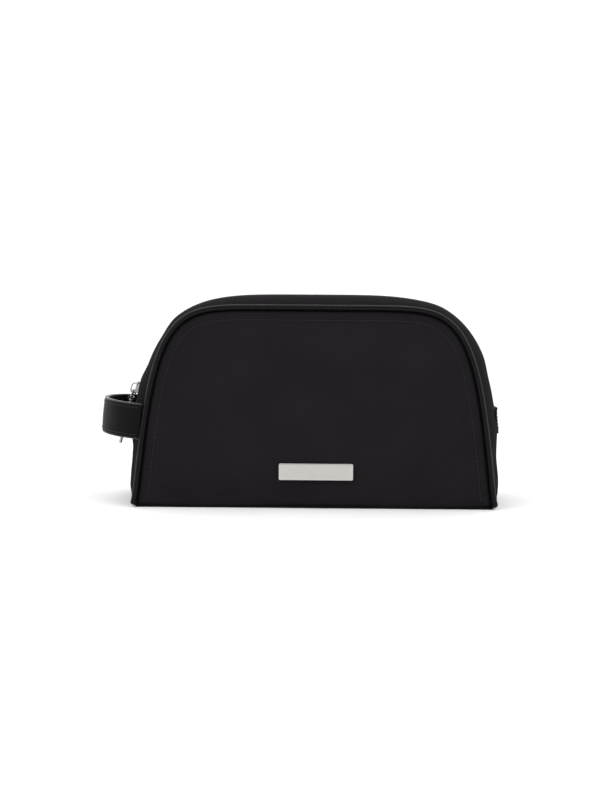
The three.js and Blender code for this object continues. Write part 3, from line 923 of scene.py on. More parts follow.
def along_path(tree: Tree, shape: Socket) -> Socket:
    """Sets a shape down along the path at an even pitch, standing on the path's own up direction.

    Args:
        tree: The tree, with inputs named Pitch, Unevenness and Seed.
        shape: The shape, lying along X with Z up.

    Returns:
        The instances.
    """
    source = tree.start.outputs
    path = tree.add("GeometryNodeMeshToCurve", {"Mesh": source["Geometry"]})
    even = tree.add(
        "GeometryNodeResampleCurve", {"Curve": path.outputs[0], "Length": source["Pitch"]}, mode="LENGTH"
    )
    up = tree.add("GeometryNodeInputNamedAttribute", {"Name": "up"}, data_type="FLOAT_VECTOR")
    tangent = tree.add("GeometryNodeInputTangent")
    turn = tree.add(
        "FunctionNodeAxesToRotation",
        {"Primary Axis": up.outputs[0], "Secondary Axis": tangent.outputs[0]},
        primary_axis="Z", secondary_axis="X",
    )
    placed = tree.add(
        "GeometryNodeInstanceOnPoints",
        {"Points": even.outputs[0], "Instance": shape, "Rotation": turn.outputs[0]},
    )
    wander = tree.add(
        "FunctionNodeRandomValue",
        {"Min": (-1, -1, -1), "Max": (1, 1, 1), "Seed": source["Seed"]}, data_type="FLOAT_VECTOR",
    )
    amount = tree.add(
        "ShaderNodeVectorMath", {0: wander.outputs[0], 3: source["Unevenness"]}, operation="SCALE"
    )
    turned = tree.add(
        "GeometryNodeRotateInstances", {"Instances": placed.outputs[0], "Rotation": amount.outputs[0]}
    )
    return turned.outputs[0]


def common_sizes(tree: Tree) -> None:
    """Gives a tree the inputs that every row along a path has."""
    tree.size("Pitch")
    tree.size("Length")
    tree.size("Width")
    tree.size("Height")
    tree.size("Unevenness")
    tree.size("Seed", "NodeSocketInt")
    tree.size("Material", "NodeSocketMaterial")
    tree.open()


def stitch_tree() -> Tree:
    """Writes the tree that lays stitches along a path, each one a flattened bead of thread.

    Returns:
        The tree.
    """
    tree = Tree("stitch_row")
    common_sizes(tree)
    source = tree.start.outputs
    bead = tree.add("GeometryNodeMeshUVSphere", {"Segments": 8, "Rings": 6, "Radius": 0.5})
    size = tree.add("ShaderNodeCombineXYZ", {0: source["Length"], 1: source["Width"], 2: source["Height"]})
    shaped = tree.add("GeometryNodeTransform", {"Geometry": bead.outputs[0], "Scale": size.outputs[0]})
    tree.finish(along_path(tree, shaped.outputs[0]))
    return tree


def coil_tree() -> Tree:
    """Writes the tree that winds one row of a nylon coil: slanted loops side by side along the tape.

    Returns:
        The tree.
    """
    tree = Tree("coil_row")
    common_sizes(tree)
    source = tree.start.outputs
    ring = tree.add("GeometryNodeCurvePrimitiveCircle", {"Resolution": 12, "Radius": 0.5}, mode="RADIUS")
    stand = tree.add("GeometryNodeTransform", {"Geometry": ring.outputs[0], "Rotation": (0, math.pi / 2, 0)})
    size = tree.add("ShaderNodeCombineXYZ", {0: 1.0, 1: source["Width"], 2: source["Height"]})
    oval = tree.add("GeometryNodeTransform", {"Geometry": stand.outputs[0], "Scale": size.outputs[0]})
    lean = (0, 0, math.radians(14))
    slant = tree.add("GeometryNodeTransform", {"Geometry": oval.outputs[0], "Rotation": lean})
    gauge = {"Resolution": 6, "Radius": source["Length"]}
    wire = tree.add("GeometryNodeCurvePrimitiveCircle", gauge, mode="RADIUS")
    loop = tree.add("GeometryNodeCurveToMesh", {"Curve": slant.outputs[0], "Profile Curve": wire.outputs[0]})
    tree.finish(along_path(tree, loop.outputs[0]))
    return tree


@dataclass(frozen=True)
class Row:
    """Sizes of a row along a path, in metres."""

    pitch: float
    length: float
    width: float
    height: float
    unevenness: float = 0.05
    seed: int = 3


@dataclass
class RowMaker:
    """Makes rows of stitches and coil loops, one tree for each kind."""

    stitches: Tree = field(default_factory=stitch_tree)
    coil: Tree = field(default_factory=coil_tree)

    def sew(self, name: str, row: Row, slot: str, paths: list[Path]) -> Item:
        """Lays rows of stitches in the bag's thread, darkened with painted shade for the needle holes."""
        return self.lay(name, self.stitches, row, SHADED_THREAD, slot, paths)

    def lay(self, name: str, tree: Tree, row: Row, finish: Finish, slot: str, paths: list[Path]) -> Item:
        """Lays one row, or several that make one piece.

        Args:
            name: The piece's name.
            tree: The kind of row.
            row: Its sizes.
            finish: Its finish.
            slot: The record's material slot; not used.
            paths: Points in metres and the up direction at each, for each path.

        Returns:
            The finished plain mesh.
        """
        points = np.concatenate([path for path, _ in paths])
        ups = np.concatenate([up for _, up in paths])
        edges: list[tuple[int, int]] = []
        start = 0
        for path, _ in paths:
            edges += [(start + k, start + k + 1) for k in range(len(path) - 1)]
            start += len(path)
        mesh = bpy.data.meshes.new(name)
        mesh.from_pydata(points.tolist(), edges, [])
        attribute = mesh.attributes.new("up", "FLOAT_VECTOR", "POINT")
        attribute.data.foreach_set("vector", ups.astype(np.float32).ravel())
        item = new_object(name, mesh)
        modifier = item.modifiers.new("row", "NODES")
        modifier.node_group = tree.group
        values = {
            "Pitch": row.pitch, "Length": row.length, "Width": row.width, "Height": row.height,
            "Unevenness": row.unevenness, "Seed": row.seed, "Material": finish.material(),
        }
        for key, value in values.items():
            modifier[tree.names[key]] = value
        applied(item)
        LOG.info("%s: %d faces", name, len(item.data.polygons))
        return item


# ------------------------------------------------------------------ cloth


@dataclass(frozen=True)
class Inflate:
    """How a padded face is blown out against its seams."""

    pressure: float = 1.2
    spare: float = 0.004
    bending: float = 14.0
    frames: int = 18
    cap: float = 0.0022
    mass: float = 0.25
    stiffness: float = 18.0
    shear: float = 8.0
    quality: int = 5

    def run(self, item: Item, held: Array) -> None:
        """Simulates a cloth face and keeps its shape.

        Args:
            item: A face of cloth, with its normals outwards.
            held: How firmly each point is sewn or glued down, from 0 to 1.
        """
        mesh = item.data
        rest = read_points(mesh)
        group = item.vertex_groups.new(name="sewn")
        for number in np.nonzero(held > 0.02)[0]:
            group.add([int(number)], float(held[number]), "REPLACE")
        modifier = item.modifiers.new("cloth", "CLOTH")
        settings = modifier.settings
        settings.quality = self.quality
        settings.mass = self.mass
        settings.tension_stiffness = self.stiffness
        settings.compression_stiffness = self.stiffness
        settings.shear_stiffness = self.shear
        settings.bending_stiffness = self.bending
        settings.vertex_group_mass = "sewn"
        settings.use_pressure = True
        settings.uniform_pressure_force = self.pressure
        settings.shrink_min = -self.spare
        settings.effector_weights.gravity = 0
        modifier.collision_settings.use_collision = False
        modifier.point_cache.frame_start = 1
        modifier.point_cache.frame_end = self.frames
        scene = bpy.context.scene
        for number in range(1, self.frames + 1):
            scene.frame_set(number)
        graph = bpy.context.evaluated_depsgraph_get()
        moved = read_points(item.evaluated_get(graph).data)
        item.modifiers.remove(modifier)
        scene.frame_set(1)
        shift = moved - rest
        length = np.linalg.norm(shift, axis=1, keepdims=True)
        limited = self.cap * np.tanh(length / self.cap)
        write_points(mesh, rest + shift * np.where(length > 1e-9, limited / np.maximum(length, 1e-9), 0))


def read_points(mesh: bpy.types.Mesh) -> Array:
    """Gives a mesh's points."""
    co = np.zeros(len(mesh.vertices) * 3)
    mesh.vertices.foreach_get("co", co)
    return co.reshape(-1, 3)


def write_points(mesh: bpy.types.Mesh, points: Array) -> None:
    """Moves a mesh's points."""
    mesh.vertices.foreach_set("co", points.astype(np.float32).ravel())
    mesh.update()


def puffed(grid: Array, held: Array, recipe: Inflate, flipped: bool) -> Array:
    """Blows out a grid of cloth and gives the new grid.

    Args:
        grid: Rows by columns by three, in metres.
        held: How firmly each point is held, rows by columns.
        recipe: The simulation's settings.
        flipped: Whether the rows have to be turned round for the normals to point outwards.
    """
    if flipped:
        return puffed(grid[::-1], held[::-1], recipe, False)[::-1]
    nu, nv = grid.shape[:2]
    number = np.arange(nu * nv).reshape(nu, nv)
    quads = np.stack([number[:-1, :-1], number[1:, :-1], number[1:, 1:], number[:-1, 1:]], axis=-1)
    mesh = bpy.data.meshes.new("cloth_face")
    mesh.from_pydata(grid.reshape(-1, 3).tolist(), [], quads.reshape(-1, 4).tolist())
    item = new_object("cloth_face", mesh)
    recipe.run(item, held.reshape(-1))
    points = read_points(mesh).reshape(grid.shape)
    bpy.data.objects.remove(item)
    bpy.data.meshes.remove(mesh)
    return points


# ------------------------------------------------------------------ padded panels


@dataclass
class PaddedPanel:
    """One D-shaped panel: the padded face, its lining, its piping and its topstitching.

    side is -1 for the front and 1 for the back. Sizes are in millimetres; columns are the distances in
    from the arch at which the face has points, close together at the seam and at the stitches.
    """

    side: int
    body: Body
    rows: RowMaker
    pad_depth: float = 4.0
    recess: float = 0.6
    puff: float = 4.0
    bottom: float = 0.9
    edge_roll: float = 2.3
    ledge: float = 0.8
    edge_depth: float = 2.2
    foot_roll: float = 4.5
    stitch_line: float = 6.6
    stitch_dip: float = 0.5
    piping_radius: float = 1.9
    flange_half: float = 0.3
    shelf: tuple[float, float] = (-2.5, -3.12)
    rib_foot: float = -3.9
    sewn_in: float = 0.12
    band_edge: float = 2.9
    band_under: float = 1.4
    lining_depth: float = 5.0
    hub_half: float = 62.0
    columns: tuple[float, ...] = (
        0, 0.35, 0.8, 1.3, 1.9, 2.6, 3.4, 4.4, 5.3, 5.9, 6.3, 6.6, 6.9, 7.3, 8.0, 9.2, 11.0
    )

    @property
    def name(self) -> str:
        """The panel's side, as its pieces' names start."""
        return "front" if self.side < 0 else "back"

    def outline_rows(self, around: int) -> tuple[Array, Array]:
        """Lays rows of points over the panel: first parallel to the arch, then fanned to the foot.

        Args:
            around: Steps round the arch.

        Returns:
            Points as x and z, rows round the arch by columns inwards, and their distance from the arch.
        """
        foot = FORM.panel.share_at(self.bottom + 1)
        u = np.linspace(foot, 1 - foot, around + 1)
        edge = FORM.panel.at(u)
        inwards = -FORM.panel.outward(u)
        edge[0, 1] = edge[-1, 1] = self.bottom
        near = np.array([-self.ledge, *self.columns])
        parallel = edge[:, None] + inwards[:, None] * near[None, :, None]
        spine = np.interp(u, [foot, 0.5, 1 - foot], [-self.hub_half, 0, self.hub_half])
        hub = np.stack([spine, np.full_like(u, self.bottom)], axis=-1)
        last = parallel[:, -1]
        steps = np.linspace(0, 1, 44)[1:]
        fan = last[:, None] + (hub - last)[:, None] * steps[None, :, None]
        places = np.concatenate([parallel, fan], axis=1)
        places[..., 1] = np.maximum(places[..., 1], self.bottom)
        reach = np.linalg.norm(places - edge[:, None], axis=-1)
        reach[:, 0] *= -1
        return places, reach

    def swell(self, places: Array, reach: Array) -> Array:
        """Gives how far the padding stands out, away from the seams and the foot."""
        low = places[..., 1] - self.bottom
        return self.puff * smooth(reach / 34) * smooth((low + 6) / 40)

    def rise(self, places: Array, reach: Array) -> Array:
        """Gives how far the face stands out of the seam's plane, before it is simulated.

        Args:
            places: Places in the panel's plane, as x and z.
            reach: Their distance in from the arch.

        Returns:
            The distance at each place, less than zero where the face is drawn down.
        """
        low = places[..., 1] - self.bottom
        roll = 1 - np.sqrt(np.maximum(1 - (1 - np.minimum(reach / self.edge_roll, 1)) ** 2, 0))
        under = 1 - np.sqrt(np.maximum(1 - (1 - np.minimum(low / self.foot_roll, 1)) ** 2, 0))
        dip = np.exp(-(((reach - self.stitch_line) / 0.9) ** 2))
        drawn = self.edge_depth * (roll + 1.3 * under) + self.stitch_dip * dip
        return self.swell(places, reach) - drawn

    def face(self, places: Array, stand: Array) -> Array:
        """Turns places in the panel's plane and how far they stand out into points in metres."""
        depth = FORM.half_depth(places[..., 1]) - self.recess + stand
        return np.stack([places[..., 0], self.side * depth, places[..., 1]], axis=-1) * MM

    def build_pad(self) -> Item:
        """Makes the padded face and blows it out against its seams."""
        places, reach = self.outline_rows(300)
        outer = self.face(places, self.rise(places, reach))
        low = places[..., 1] - self.bottom
        sewn = 1 - smooth((reach - 7.2) / 5.0)
        foot = 1 - smooth((low - 2.5) / 6.0)
        held = np.maximum(sewn, foot)
        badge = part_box("badge_plate")
        if self.side < 0:
            clear_x = np.maximum(np.abs(places[..., 0] * MM - (badge[0].x + badge[1].x) / 2) - 0.027, 0)
            clear_z = np.maximum(np.abs(places[..., 1] * MM - (badge[0].z + badge[1].z) / 2) - 0.007, 0)
            held = np.maximum(held, 1 - smooth(np.hypot(clear_x, clear_z) / 0.006))
        outer = puffed(outer, held, Inflate(), flipped=self.side > 0)
        self.outer = outer
        self.places = places
        self.reach = reach
        inner = self.face(places, self.swell(places, reach) - self.pad_depth)
        pad = slab(f"{self.name}_panel_pad", outer, inner)
        dress(pad, CLOTH, "outer_fabric", f"{self.name}_panel", f"{self.name}_foam")
        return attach(pad, self.body.value)

    def build_lining(self) -> Item:
        """Makes the lining, a little slack, behind the padding."""
        places, reach = self.outline_rows(120)
        shrink = np.array([0.965, 0.955])
        centre = np.array([0.0, 62.0])
        inside = centre + (places - centre) * shrink
        wave = 0.35 * np.sin(inside[..., 0] / 9.0 + np.sin(inside[..., 1] / 13.0) * 2) * smooth(reach / 20)
        wave += 0.3 * np.sin(inside[..., 1] / 7.0 + inside[..., 0] / 31.0) * smooth(reach / 20)
        stand = self.swell(inside, reach) - self.lining_depth + wave
        outer = self.face(inside, stand)
        inner = self.face(inside, stand - 0.5)
        lining = slab(f"{self.name}_lining_cloth", outer, inner)
        dress(lining, LINER, "lining_fabric", f"{self.name}_lining")
        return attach(lining, self.body.value)

    def seam_allowance(self, u: Array, centre: Array, side_way: Array, flare: Array) -> tuple[Array, Array]:
        """Shapes the part of the piping that is sewn in between the panel's rim and the gusset's edge.

        Args:
            u: Shares of the way round the arch.
            centre: The cord's middle at each share.
            side_way: The direction across the cord, in the panel's plane.
            flare: How far the cord is turned out at each share.

        Returns:
            The corners' distances across the cord and out of the bag, share by share.
        """
        depth = FORM.half_depth(centre[:, 2])
        under = FORM.off_gusset(u, self.side * (depth - self.band_edge), -self.band_under)
        inwards = -float(self.side)
        rim = FORM.piping_offset - self.ledge + self.sewn_in + flare
        band = np.einsum("ij,ij->i", under - centre, side_way) * inwards - self.sewn_in
        band = np.clip(band, -1.6, rim - 0.25)
        side = np.full_like(rim, self.flange_half)
        corners = np.stack([-side, band, band, rim, rim, side], axis=1) * inwards
        top, low = self.shelf
        levels = np.tile([low, low, self.rib_foot, self.rib_foot, top, top], (len(u), 1))
        if inwards < 0:
            return corners[:, ::-1], levels[:, ::-1]
        return corners, levels

    def build_piping(self) -> Item:
        """Makes the covered cord in the seam, with puckers and turned-out feet."""
        foot = FORM.panel.share_at(self.bottom + 0.6)
        u = np.linspace(foot, 1 - foot, 520)
        seam = FORM.seam(u)
        height = seam[:, 1]
        flare = 1.6 * np.exp(-height / 5.0) * np.sign(seam[:, 0])
        centre = np.stack([seam[:, 0] + flare, self.side * (FORM.half_depth(height) + 0.15), height], axis=1)
        along = np.gradient(centre, axis=0)
        along /= np.linalg.norm(along, axis=1, keepdims=True)
        outward_y = np.tile([0.0, float(self.side), 0.0], (len(u), 1))
        side_way = np.cross(along, outward_y)
        side_way /= np.linalg.norm(side_way, axis=1, keepdims=True)
        up = np.cross(side_way, along)
        length = run_lengths(centre, 0)
        pucker = 1 + 0.022 * np.sin(length / 2.9 * 2 * math.pi) + 0.015 * np.sin(length / 11.0)
        radius = self.piping_radius * pucker
        tip = np.minimum(np.minimum(length, length[-1] - length) / 1.6, 1)
        radius = radius * np.sqrt(np.maximum(1 - (1 - tip) ** 2, 0.02))
        angle = np.radians(np.linspace(-78, 258, 19))
        across = radius[:, None] * np.cos(angle)[None, :]
        deep = radius[:, None] * np.sin(angle)[None, :]
        tail_across, tail_deep = self.seam_allowance(u, centre, side_way, np.abs(flare))
        across = np.concatenate([across, tail_across], axis=1)
        deep = np.concatenate([deep, tail_deep], axis=1)
        ring = across[..., None] * side_way[:, None] + deep[..., None] * up[:, None]
        tube = (centre[:, None] + ring) * MM
        piping = sweep(f"{self.name}_piping_cord", tube, 70)
        dress(piping, PIPING_SKIN, "piping_leather", f"{self.name}_piping")
        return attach(piping, self.body.value)

    def build_topstitching(self) -> Item:
        """Lays the row of stitches just inside the arch."""
        column = int(np.argmin(np.abs(self.reach[len(self.reach) // 2] - self.stitch_line)))
        line = self.outer[:, column]
        line = line[line[:, 2] > 0.006]
        up = np.tile([0.0, float(self.side), 0.0], (len(line), 1))
        row = Row(pitch=3.0 * MM, length=2.35 * MM, width=0.5 * MM, height=0.42 * MM, seed=5)
        lifted = line + up * 0.05 * MM
        stitches = self.rows.sew(f"{self.name}_topstitching", row, "outer_fabric", [(lifted, up)])
        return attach(stitches, self.body.value)

    def build(self) -> None:
        """Makes every piece of the panel."""
        self.build_pad()
        self.build_lining()
        self.build_piping()
        self.build_topstitching()


# ------------------------------------------------------------------ side gussets and base


@dataclass
class SideGusset:
    """One padded side below the zip, from seam to seam, in millimetres."""

    left: bool
    skin: float = 3.0
    seam_clear: float = 2.9

    @property
    def name(self) -> str:
        """The side, as its pieces' names start."""
        return "left" if self.left else "right"

    def grid(self, rows: int, columns: int, clear: float, top: float) -> tuple[Array, Array]:
        """Lays a grid of points over the side.

        Args:
            rows: Steps up the side.
            columns: Steps across it.
            clear: Distance kept from the seams.
            top: The share of the arch at which it ends.

        Returns:
            Shares of the way round, and distances across, of each point.
        """
        foot = FORM.crown.share_at(1.2)
        u = np.linspace(foot, top, rows + 1)
        depth = FORM.half_depth(FORM.seam(u)[:, 1]) - clear
        across = np.linspace(-1, 1, columns + 1)
        y = across[None, :] * depth[:, None]
        u = np.repeat(u[:, None], columns + 1, axis=1)
        return (u if self.left else 1 - u), y

    def hollows(self, points: Array) -> Array:
        """Gives the soft pinch and the upright folds of the side.

        Args:
            points: Points on the gusset, in millimetres.

        Returns:
            How far the cloth stands outwards at each, in millimetres.
        """
        y, z = points[..., 1], points[..., 2]
        middle = 1 - np.abs(y / 47) ** 2
        pinch = -1.5 * np.exp(-(((z - 34) / 13) ** 2)) * middle
        flare = 0.9 * np.exp(-z / 9) * middle
        shift = 0.0 if self.left else 5.0
        folds = np.zeros_like(y)
        for place, width, deep in ((-33, 4.5, 0.9), (-21, 6, 0.55), (30, 5, 0.8), (14, 7, 0.4)):
            centre = place + shift * 0.6 + 3 * np.sin(z / 17 + place)
            folds -= deep * np.exp(-(((y - centre) / width) ** 2)) * np.exp(-(((z - 38) / 20) ** 2))
        return pinch + flare + folds

    def build_pad(self) -> Item:
        """Makes the padded side, with its edges drawn down into the seams."""
        u, y = self.grid(44, 60, self.seam_clear, FORM.zip_end)
        near = FORM.half_depth(FORM.seam(u)[..., 1]) - np.abs(y)
        roll = -0.4 * (1 - smooth((near - self.seam_clear) / 3.0))
        base = FORM.gusset(u, y)
        hollows = self.hollows(base)
        outer = FORM.off_gusset(u, y, roll + hollows) * MM
        rising = base[..., 2]
        held = np.maximum(1 - smooth((near - 4.0) / 7.0), 1 - smooth((rising - 3) / 8))
        held = np.maximum(held, smooth((rising - 58) / 9))
        recipe = Inflate(pressure=0.6, spare=0.02, bending=3.0, cap=0.0016)
        outer = puffed(outer, held, recipe, flipped=not self.left)
        thickness = 1.0 + (self.skin + 0.2) * smooth((near - self.seam_clear - 0.5) / 3.0)
        inner = FORM.off_gusset(u, y, roll + 0.8 * hollows - thickness) * MM
        pad = slab(f"{self.name}_side_pad", outer, inner)
        # The side's cloth is the outer twill painted darker: painted shade.
        dress(pad, SHADED_BAND_CLOTH, "outer_fabric", f"{self.name}_gusset", f"{self.name}_gusset_foam")
        return Bend.GUSSET.join(pad)

    def build_lining(self) -> Item:
        """Makes the side's lining, with slack ripples."""
        u, y = self.grid(26, 36, 6.0, FORM.zip_end)
        ripple = 0.35 * np.sin(y / 6 + np.sin(u * 60)) + self.hollows(FORM.gusset(u, y)) * 0.8
        outer = FORM.off_gusset(u, y, ripple - 5.1) * MM
        inner = FORM.off_gusset(u, y, ripple - 5.6) * MM
        lining = slab(f"{self.name}_side_lining", outer, inner)
        dress(lining, LINER, "lining_fabric", f"{self.name}_gusset_lining")
        return Bend.GUSSET.join(lining)

    def build_tab(self, rows: RowMaker) -> None:
        """Makes the folded tab over the zip's end, and its box of stitches.

        Args:
            rows: The maker of the stitches.
        """
        top = FORM.zip_end - 0.0006
        foot = FORM.crown.share_at(50.5)
        u = np.linspace(foot, top, 26)
        section = rounded_section(-9, 9, 0.3, 2.1, 0.7, 14)
        along = (u - foot) / (top - foot)
        fold = 0.35 * np.exp(-(((along - 1) / 0.12) ** 2))
        place, across, height = spread(u, section)
        ripple = 0.25 * np.sin(across / 5) * np.sin(along[:, None] * 3)
        stand = np.maximum(height * (1 + fold[:, None]) + ripple, 0.1)
        turned = place if self.left else 1 - place
        tab = sweep(f"zip_end_tab_{self.name}", FORM.off_gusset(turned, across, stand) * MM)
        dress(tab, TAB_TAPE, "strap_leather", f"zip_tab_{self.name}")
        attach(tab, "shell")
        inset = 0.0045
        low, high = foot + inset, top - inset
        corners = [(low, -7), (low, 7), (high, 7), (high, -7), (low, -7)]
        legs = [np.linspace(start, end, 8, endpoint=False) for start, end in zip(corners, corners[1:])]
        line_u, line_y = np.concatenate(legs).T
        line_u = line_u if self.left else 1 - line_u
        line = FORM.off_gusset(line_u, line_y, 2.2) * MM
        row = Row(pitch=2.6 * MM, length=2.0 * MM, width=0.5 * MM, height=0.4 * MM, seed=9)
        path = [(line, FORM.gusset_normal(line_u, line_y))]
        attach(rows.sew(f"tab_stitching_{self.name}", row, "strap_leather", path), "shell")

    def build(self, rows: RowMaker) -> None:
        """Makes every piece of the side."""
        self.build_pad()
        self.build_lining()
        self.build_tab(rows)


@dataclass
class Base:
    """The bottom: outer cloth and the lining inside, in millimetres; the stiffener board is hidden."""

    foot_inset: float = 1.6
    seam_inset: float = 1.3

    def plan(self, inset: float, steps: int) -> Array:
        """Gives the bottom's outline.

        Args:
            inset: Distance in from the full outline.
            steps: Points along each end.

        Returns:
            A closed loop of x and y, in millimetres.
        """
        edge = FORM.base_half_depth - self.seam_inset - inset
        y = np.linspace(-edge, edge, steps)
        x = -FORM.gusset(np.zeros_like(y), y)[:, 0] - self.foot_inset - inset
        return np.concatenate([np.stack([x, y], axis=1), np.stack([-x[::-1], y[::-1]], axis=1)])

    def plate(self, name: str, levels: list[tuple[float, float]]) -> Item:
        """Stacks outlines of the bottom into one closed plate with soft edges.

        Args:
            name: The piece's name.
            levels: Height and inset of each outline from the bottom up, in millimetres.

        Returns:
            The new object.
        """
        rings = []
        for height, inset in levels:
            loop = self.plan(inset, 40)
            rings.append(np.column_stack([loop, np.full(len(loop), height)]))
        return sweep(name, np.array(rings) * MM)

    def build(self) -> None:
        """Makes the outer bottom and the lining of the bottom."""
        cloth = self.plate("base_cloth", [(0, 1.2), (0.15, 0.5), (0.6, 0.1), (1.3, 0.2), (1.7, 0.8)])
        dress(cloth, BASE_CLOTH, "outer_fabric", "base_panel")
        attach(cloth, "shell")
        lining = self.plate("base_lining_cloth", [(2.0, 5.6), (4.4, 5.4), (4.9, 6.2)])
        dress(lining, LINER, "lining_fabric", "base_lining", "base_board")
        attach(lining, "shell")


# ------------------------------------------------------------------ zip band


@dataclass
class ZipSide:
    """One half of the zip band: cloth strip, lining, tape, coil row and stitching, in millimetres."""

    side: int
    rows: RowMaker
    strip_edge: float = 5.3
    seam_clear: float = 2.9
    tape_width: float = 12.0
    slit: float = 0.35
    pitch: float = 1.35

    @property
    def name(self) -> str:
        """The half, as its pieces' names start."""
        return "front" if self.side < 0 else "back"

    def nodes(self, main: str, end: str) -> list[str]:
        """Names the CAD nodes of one layer; the front half has one more, at its closed end."""
        return [f"{self.name}_{main}"] + ([f"front_{end}_closed_end"] if self.side < 0 else [])

    def settle(self, item: Item, bend: Bend) -> Item:
        """Bakes the placement of a piece of the front half, and puts one of the back half on the shell."""
        if self.side < 0:
            return bend.join(item)
        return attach(item, "shell")

    def ribbon(self, name: str, start: float, section: Callable[[Array], Array], steps: int) -> Item:
        """Sweeps a section round the band from one end of the zip to the other.

        Args:
            name: The piece's name.
            start: The share of the arch at which it starts; it ends at the mirrored place.
            section: Gives pairs of distance from the slit and height, from the seam's half depth.
            steps: Steps along the band.

        Returns:
            The new object.
        """
        u = np.linspace(start, 1 - start, steps + 1)
        depth = FORM.half_depth(FORM.seam(u)[:, 1])
        loops = np.array([section(d) for d in depth])
        place = np.broadcast_to(u[:, None], loops.shape[:2])
        return sweep(name, FORM.off_gusset(place, self.side * loops[..., 0], loops[..., 1]) * MM)

    def build_strip(self) -> None:
        """Makes the cloth strip, folded back beside the coil and sewn through near its fold."""

        def section(depth: float) -> Array:
            """Gives the strip's section at one place."""
            loop = rounded_section(self.strip_edge, depth - self.seam_clear, -1.0, 0.0, 0.45, 30)
            across = loop[:, 0]
            crown = 0.5 * smooth((across - 9) / 8) * smooth((depth - 4 - across) / 8)
            dip = -0.3 * np.exp(-(((across - self.strip_edge - 2.6) / 0.7) ** 2))
            drawn = -0.4 * (1 - smooth((depth - self.seam_clear - across) / 3.0))
            loop[:, 1] += np.where(loop[:, 1] > -0.5, crown + dip, 0) + drawn
            return loop

        strip = self.ribbon(f"{self.name}_band_cloth", FORM.zip_end - 0.002, section, 260)
        # The strip's cloth is the outer twill painted darker: painted shade.
        dress(strip, SHADED_BAND_CLOTH, "outer_fabric", *self.nodes("zip_strip", "strip"))
        self.settle(strip, Bend.STRIP)

    def build_lining(self) -> None:
        """Makes the strip's lining."""

        def section(depth: float) -> Array:
            """Gives the lining's section at one place."""
            return rounded_section(6.8, depth - 6.0, -3.4, -2.8, 0.25, 12)

        lining = self.ribbon(f"{self.name}_band_lining", FORM.zip_end, section, 160)
        dress(lining, LINER, "lining_fabric", *self.nodes("strip_lining", "lining"))
        self.settle(lining, Bend.STRIP)

    def build_tape(self) -> None:
        """Makes the woven tape with its corded edge."""

        def section(_: float) -> Array:
            """Gives the tape's section."""
            loop = rounded_section(self.slit, self.tape_width, -2.3, -1.6, 0.3, 12)
            loop[:, 1] += 0.18 * np.exp(-(((loop[:, 0] - 3.6) / 0.4) ** 2))
            return loop

        tape = self.ribbon(f"{self.name}_tape_weave", FORM.zip_end - 0.004, section, 220)
        dress(tape, ZIP_TAPE, "zip_tape", *self.nodes("zip_tape", "tape"))
        self.settle(tape, Bend.ZIP)

    def build_coil(self) -> None:
        """Winds the nylon coil along the tape."""
        start = FORM.zip_end + 0.006
        shift = 0.0 if self.side < 0 else 0.5 * self.pitch / 480
        u = np.linspace(start + shift, 1 - start + shift, 700)
        y = np.full_like(u, self.side * 1.45)
        line = FORM.off_gusset(u, y, -0.25) * MM
        up = FORM.gusset_normal(u, y)
        row = Row(pitch=self.pitch * MM, length=0.42 * MM, width=2.15 * MM, height=1.5 * MM, unevenness=0.015)
        coil = self.rows.lay(f"{self.name}_coil_row", self.rows.coil, row, COIL, "zip_coil", [(line, up)])
        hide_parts(*self.nodes("zip_coil", "coil"))
        self.settle(coil, Bend.ZIP)

    def build_stitching(self) -> None:
        """Lays the stitches along the strip's fold."""
        u = np.linspace(FORM.zip_end + 0.002, 1 - FORM.zip_end - 0.002, 500)
        y = np.full_like(u, self.side * (self.strip_edge + 2.6))
        line = FORM.off_gusset(u, y, -0.2) * MM
        row = Row(pitch=3.0 * MM, length=2.3 * MM, width=0.5 * MM, height=0.42 * MM, seed=11)
        path = [(line, FORM.gusset_normal(u, y))]
        self.settle(self.rows.sew(f"{self.name}_band_stitching", row, "outer_fabric", path), Bend.STRIP)

    def build(self) -> None:
        """Makes every piece of this half of the band."""
        self.build_strip()
        self.build_lining()
        self.build_tape()
        self.build_coil()
        self.build_stitching()


# ------------------------------------------------------------------ strap


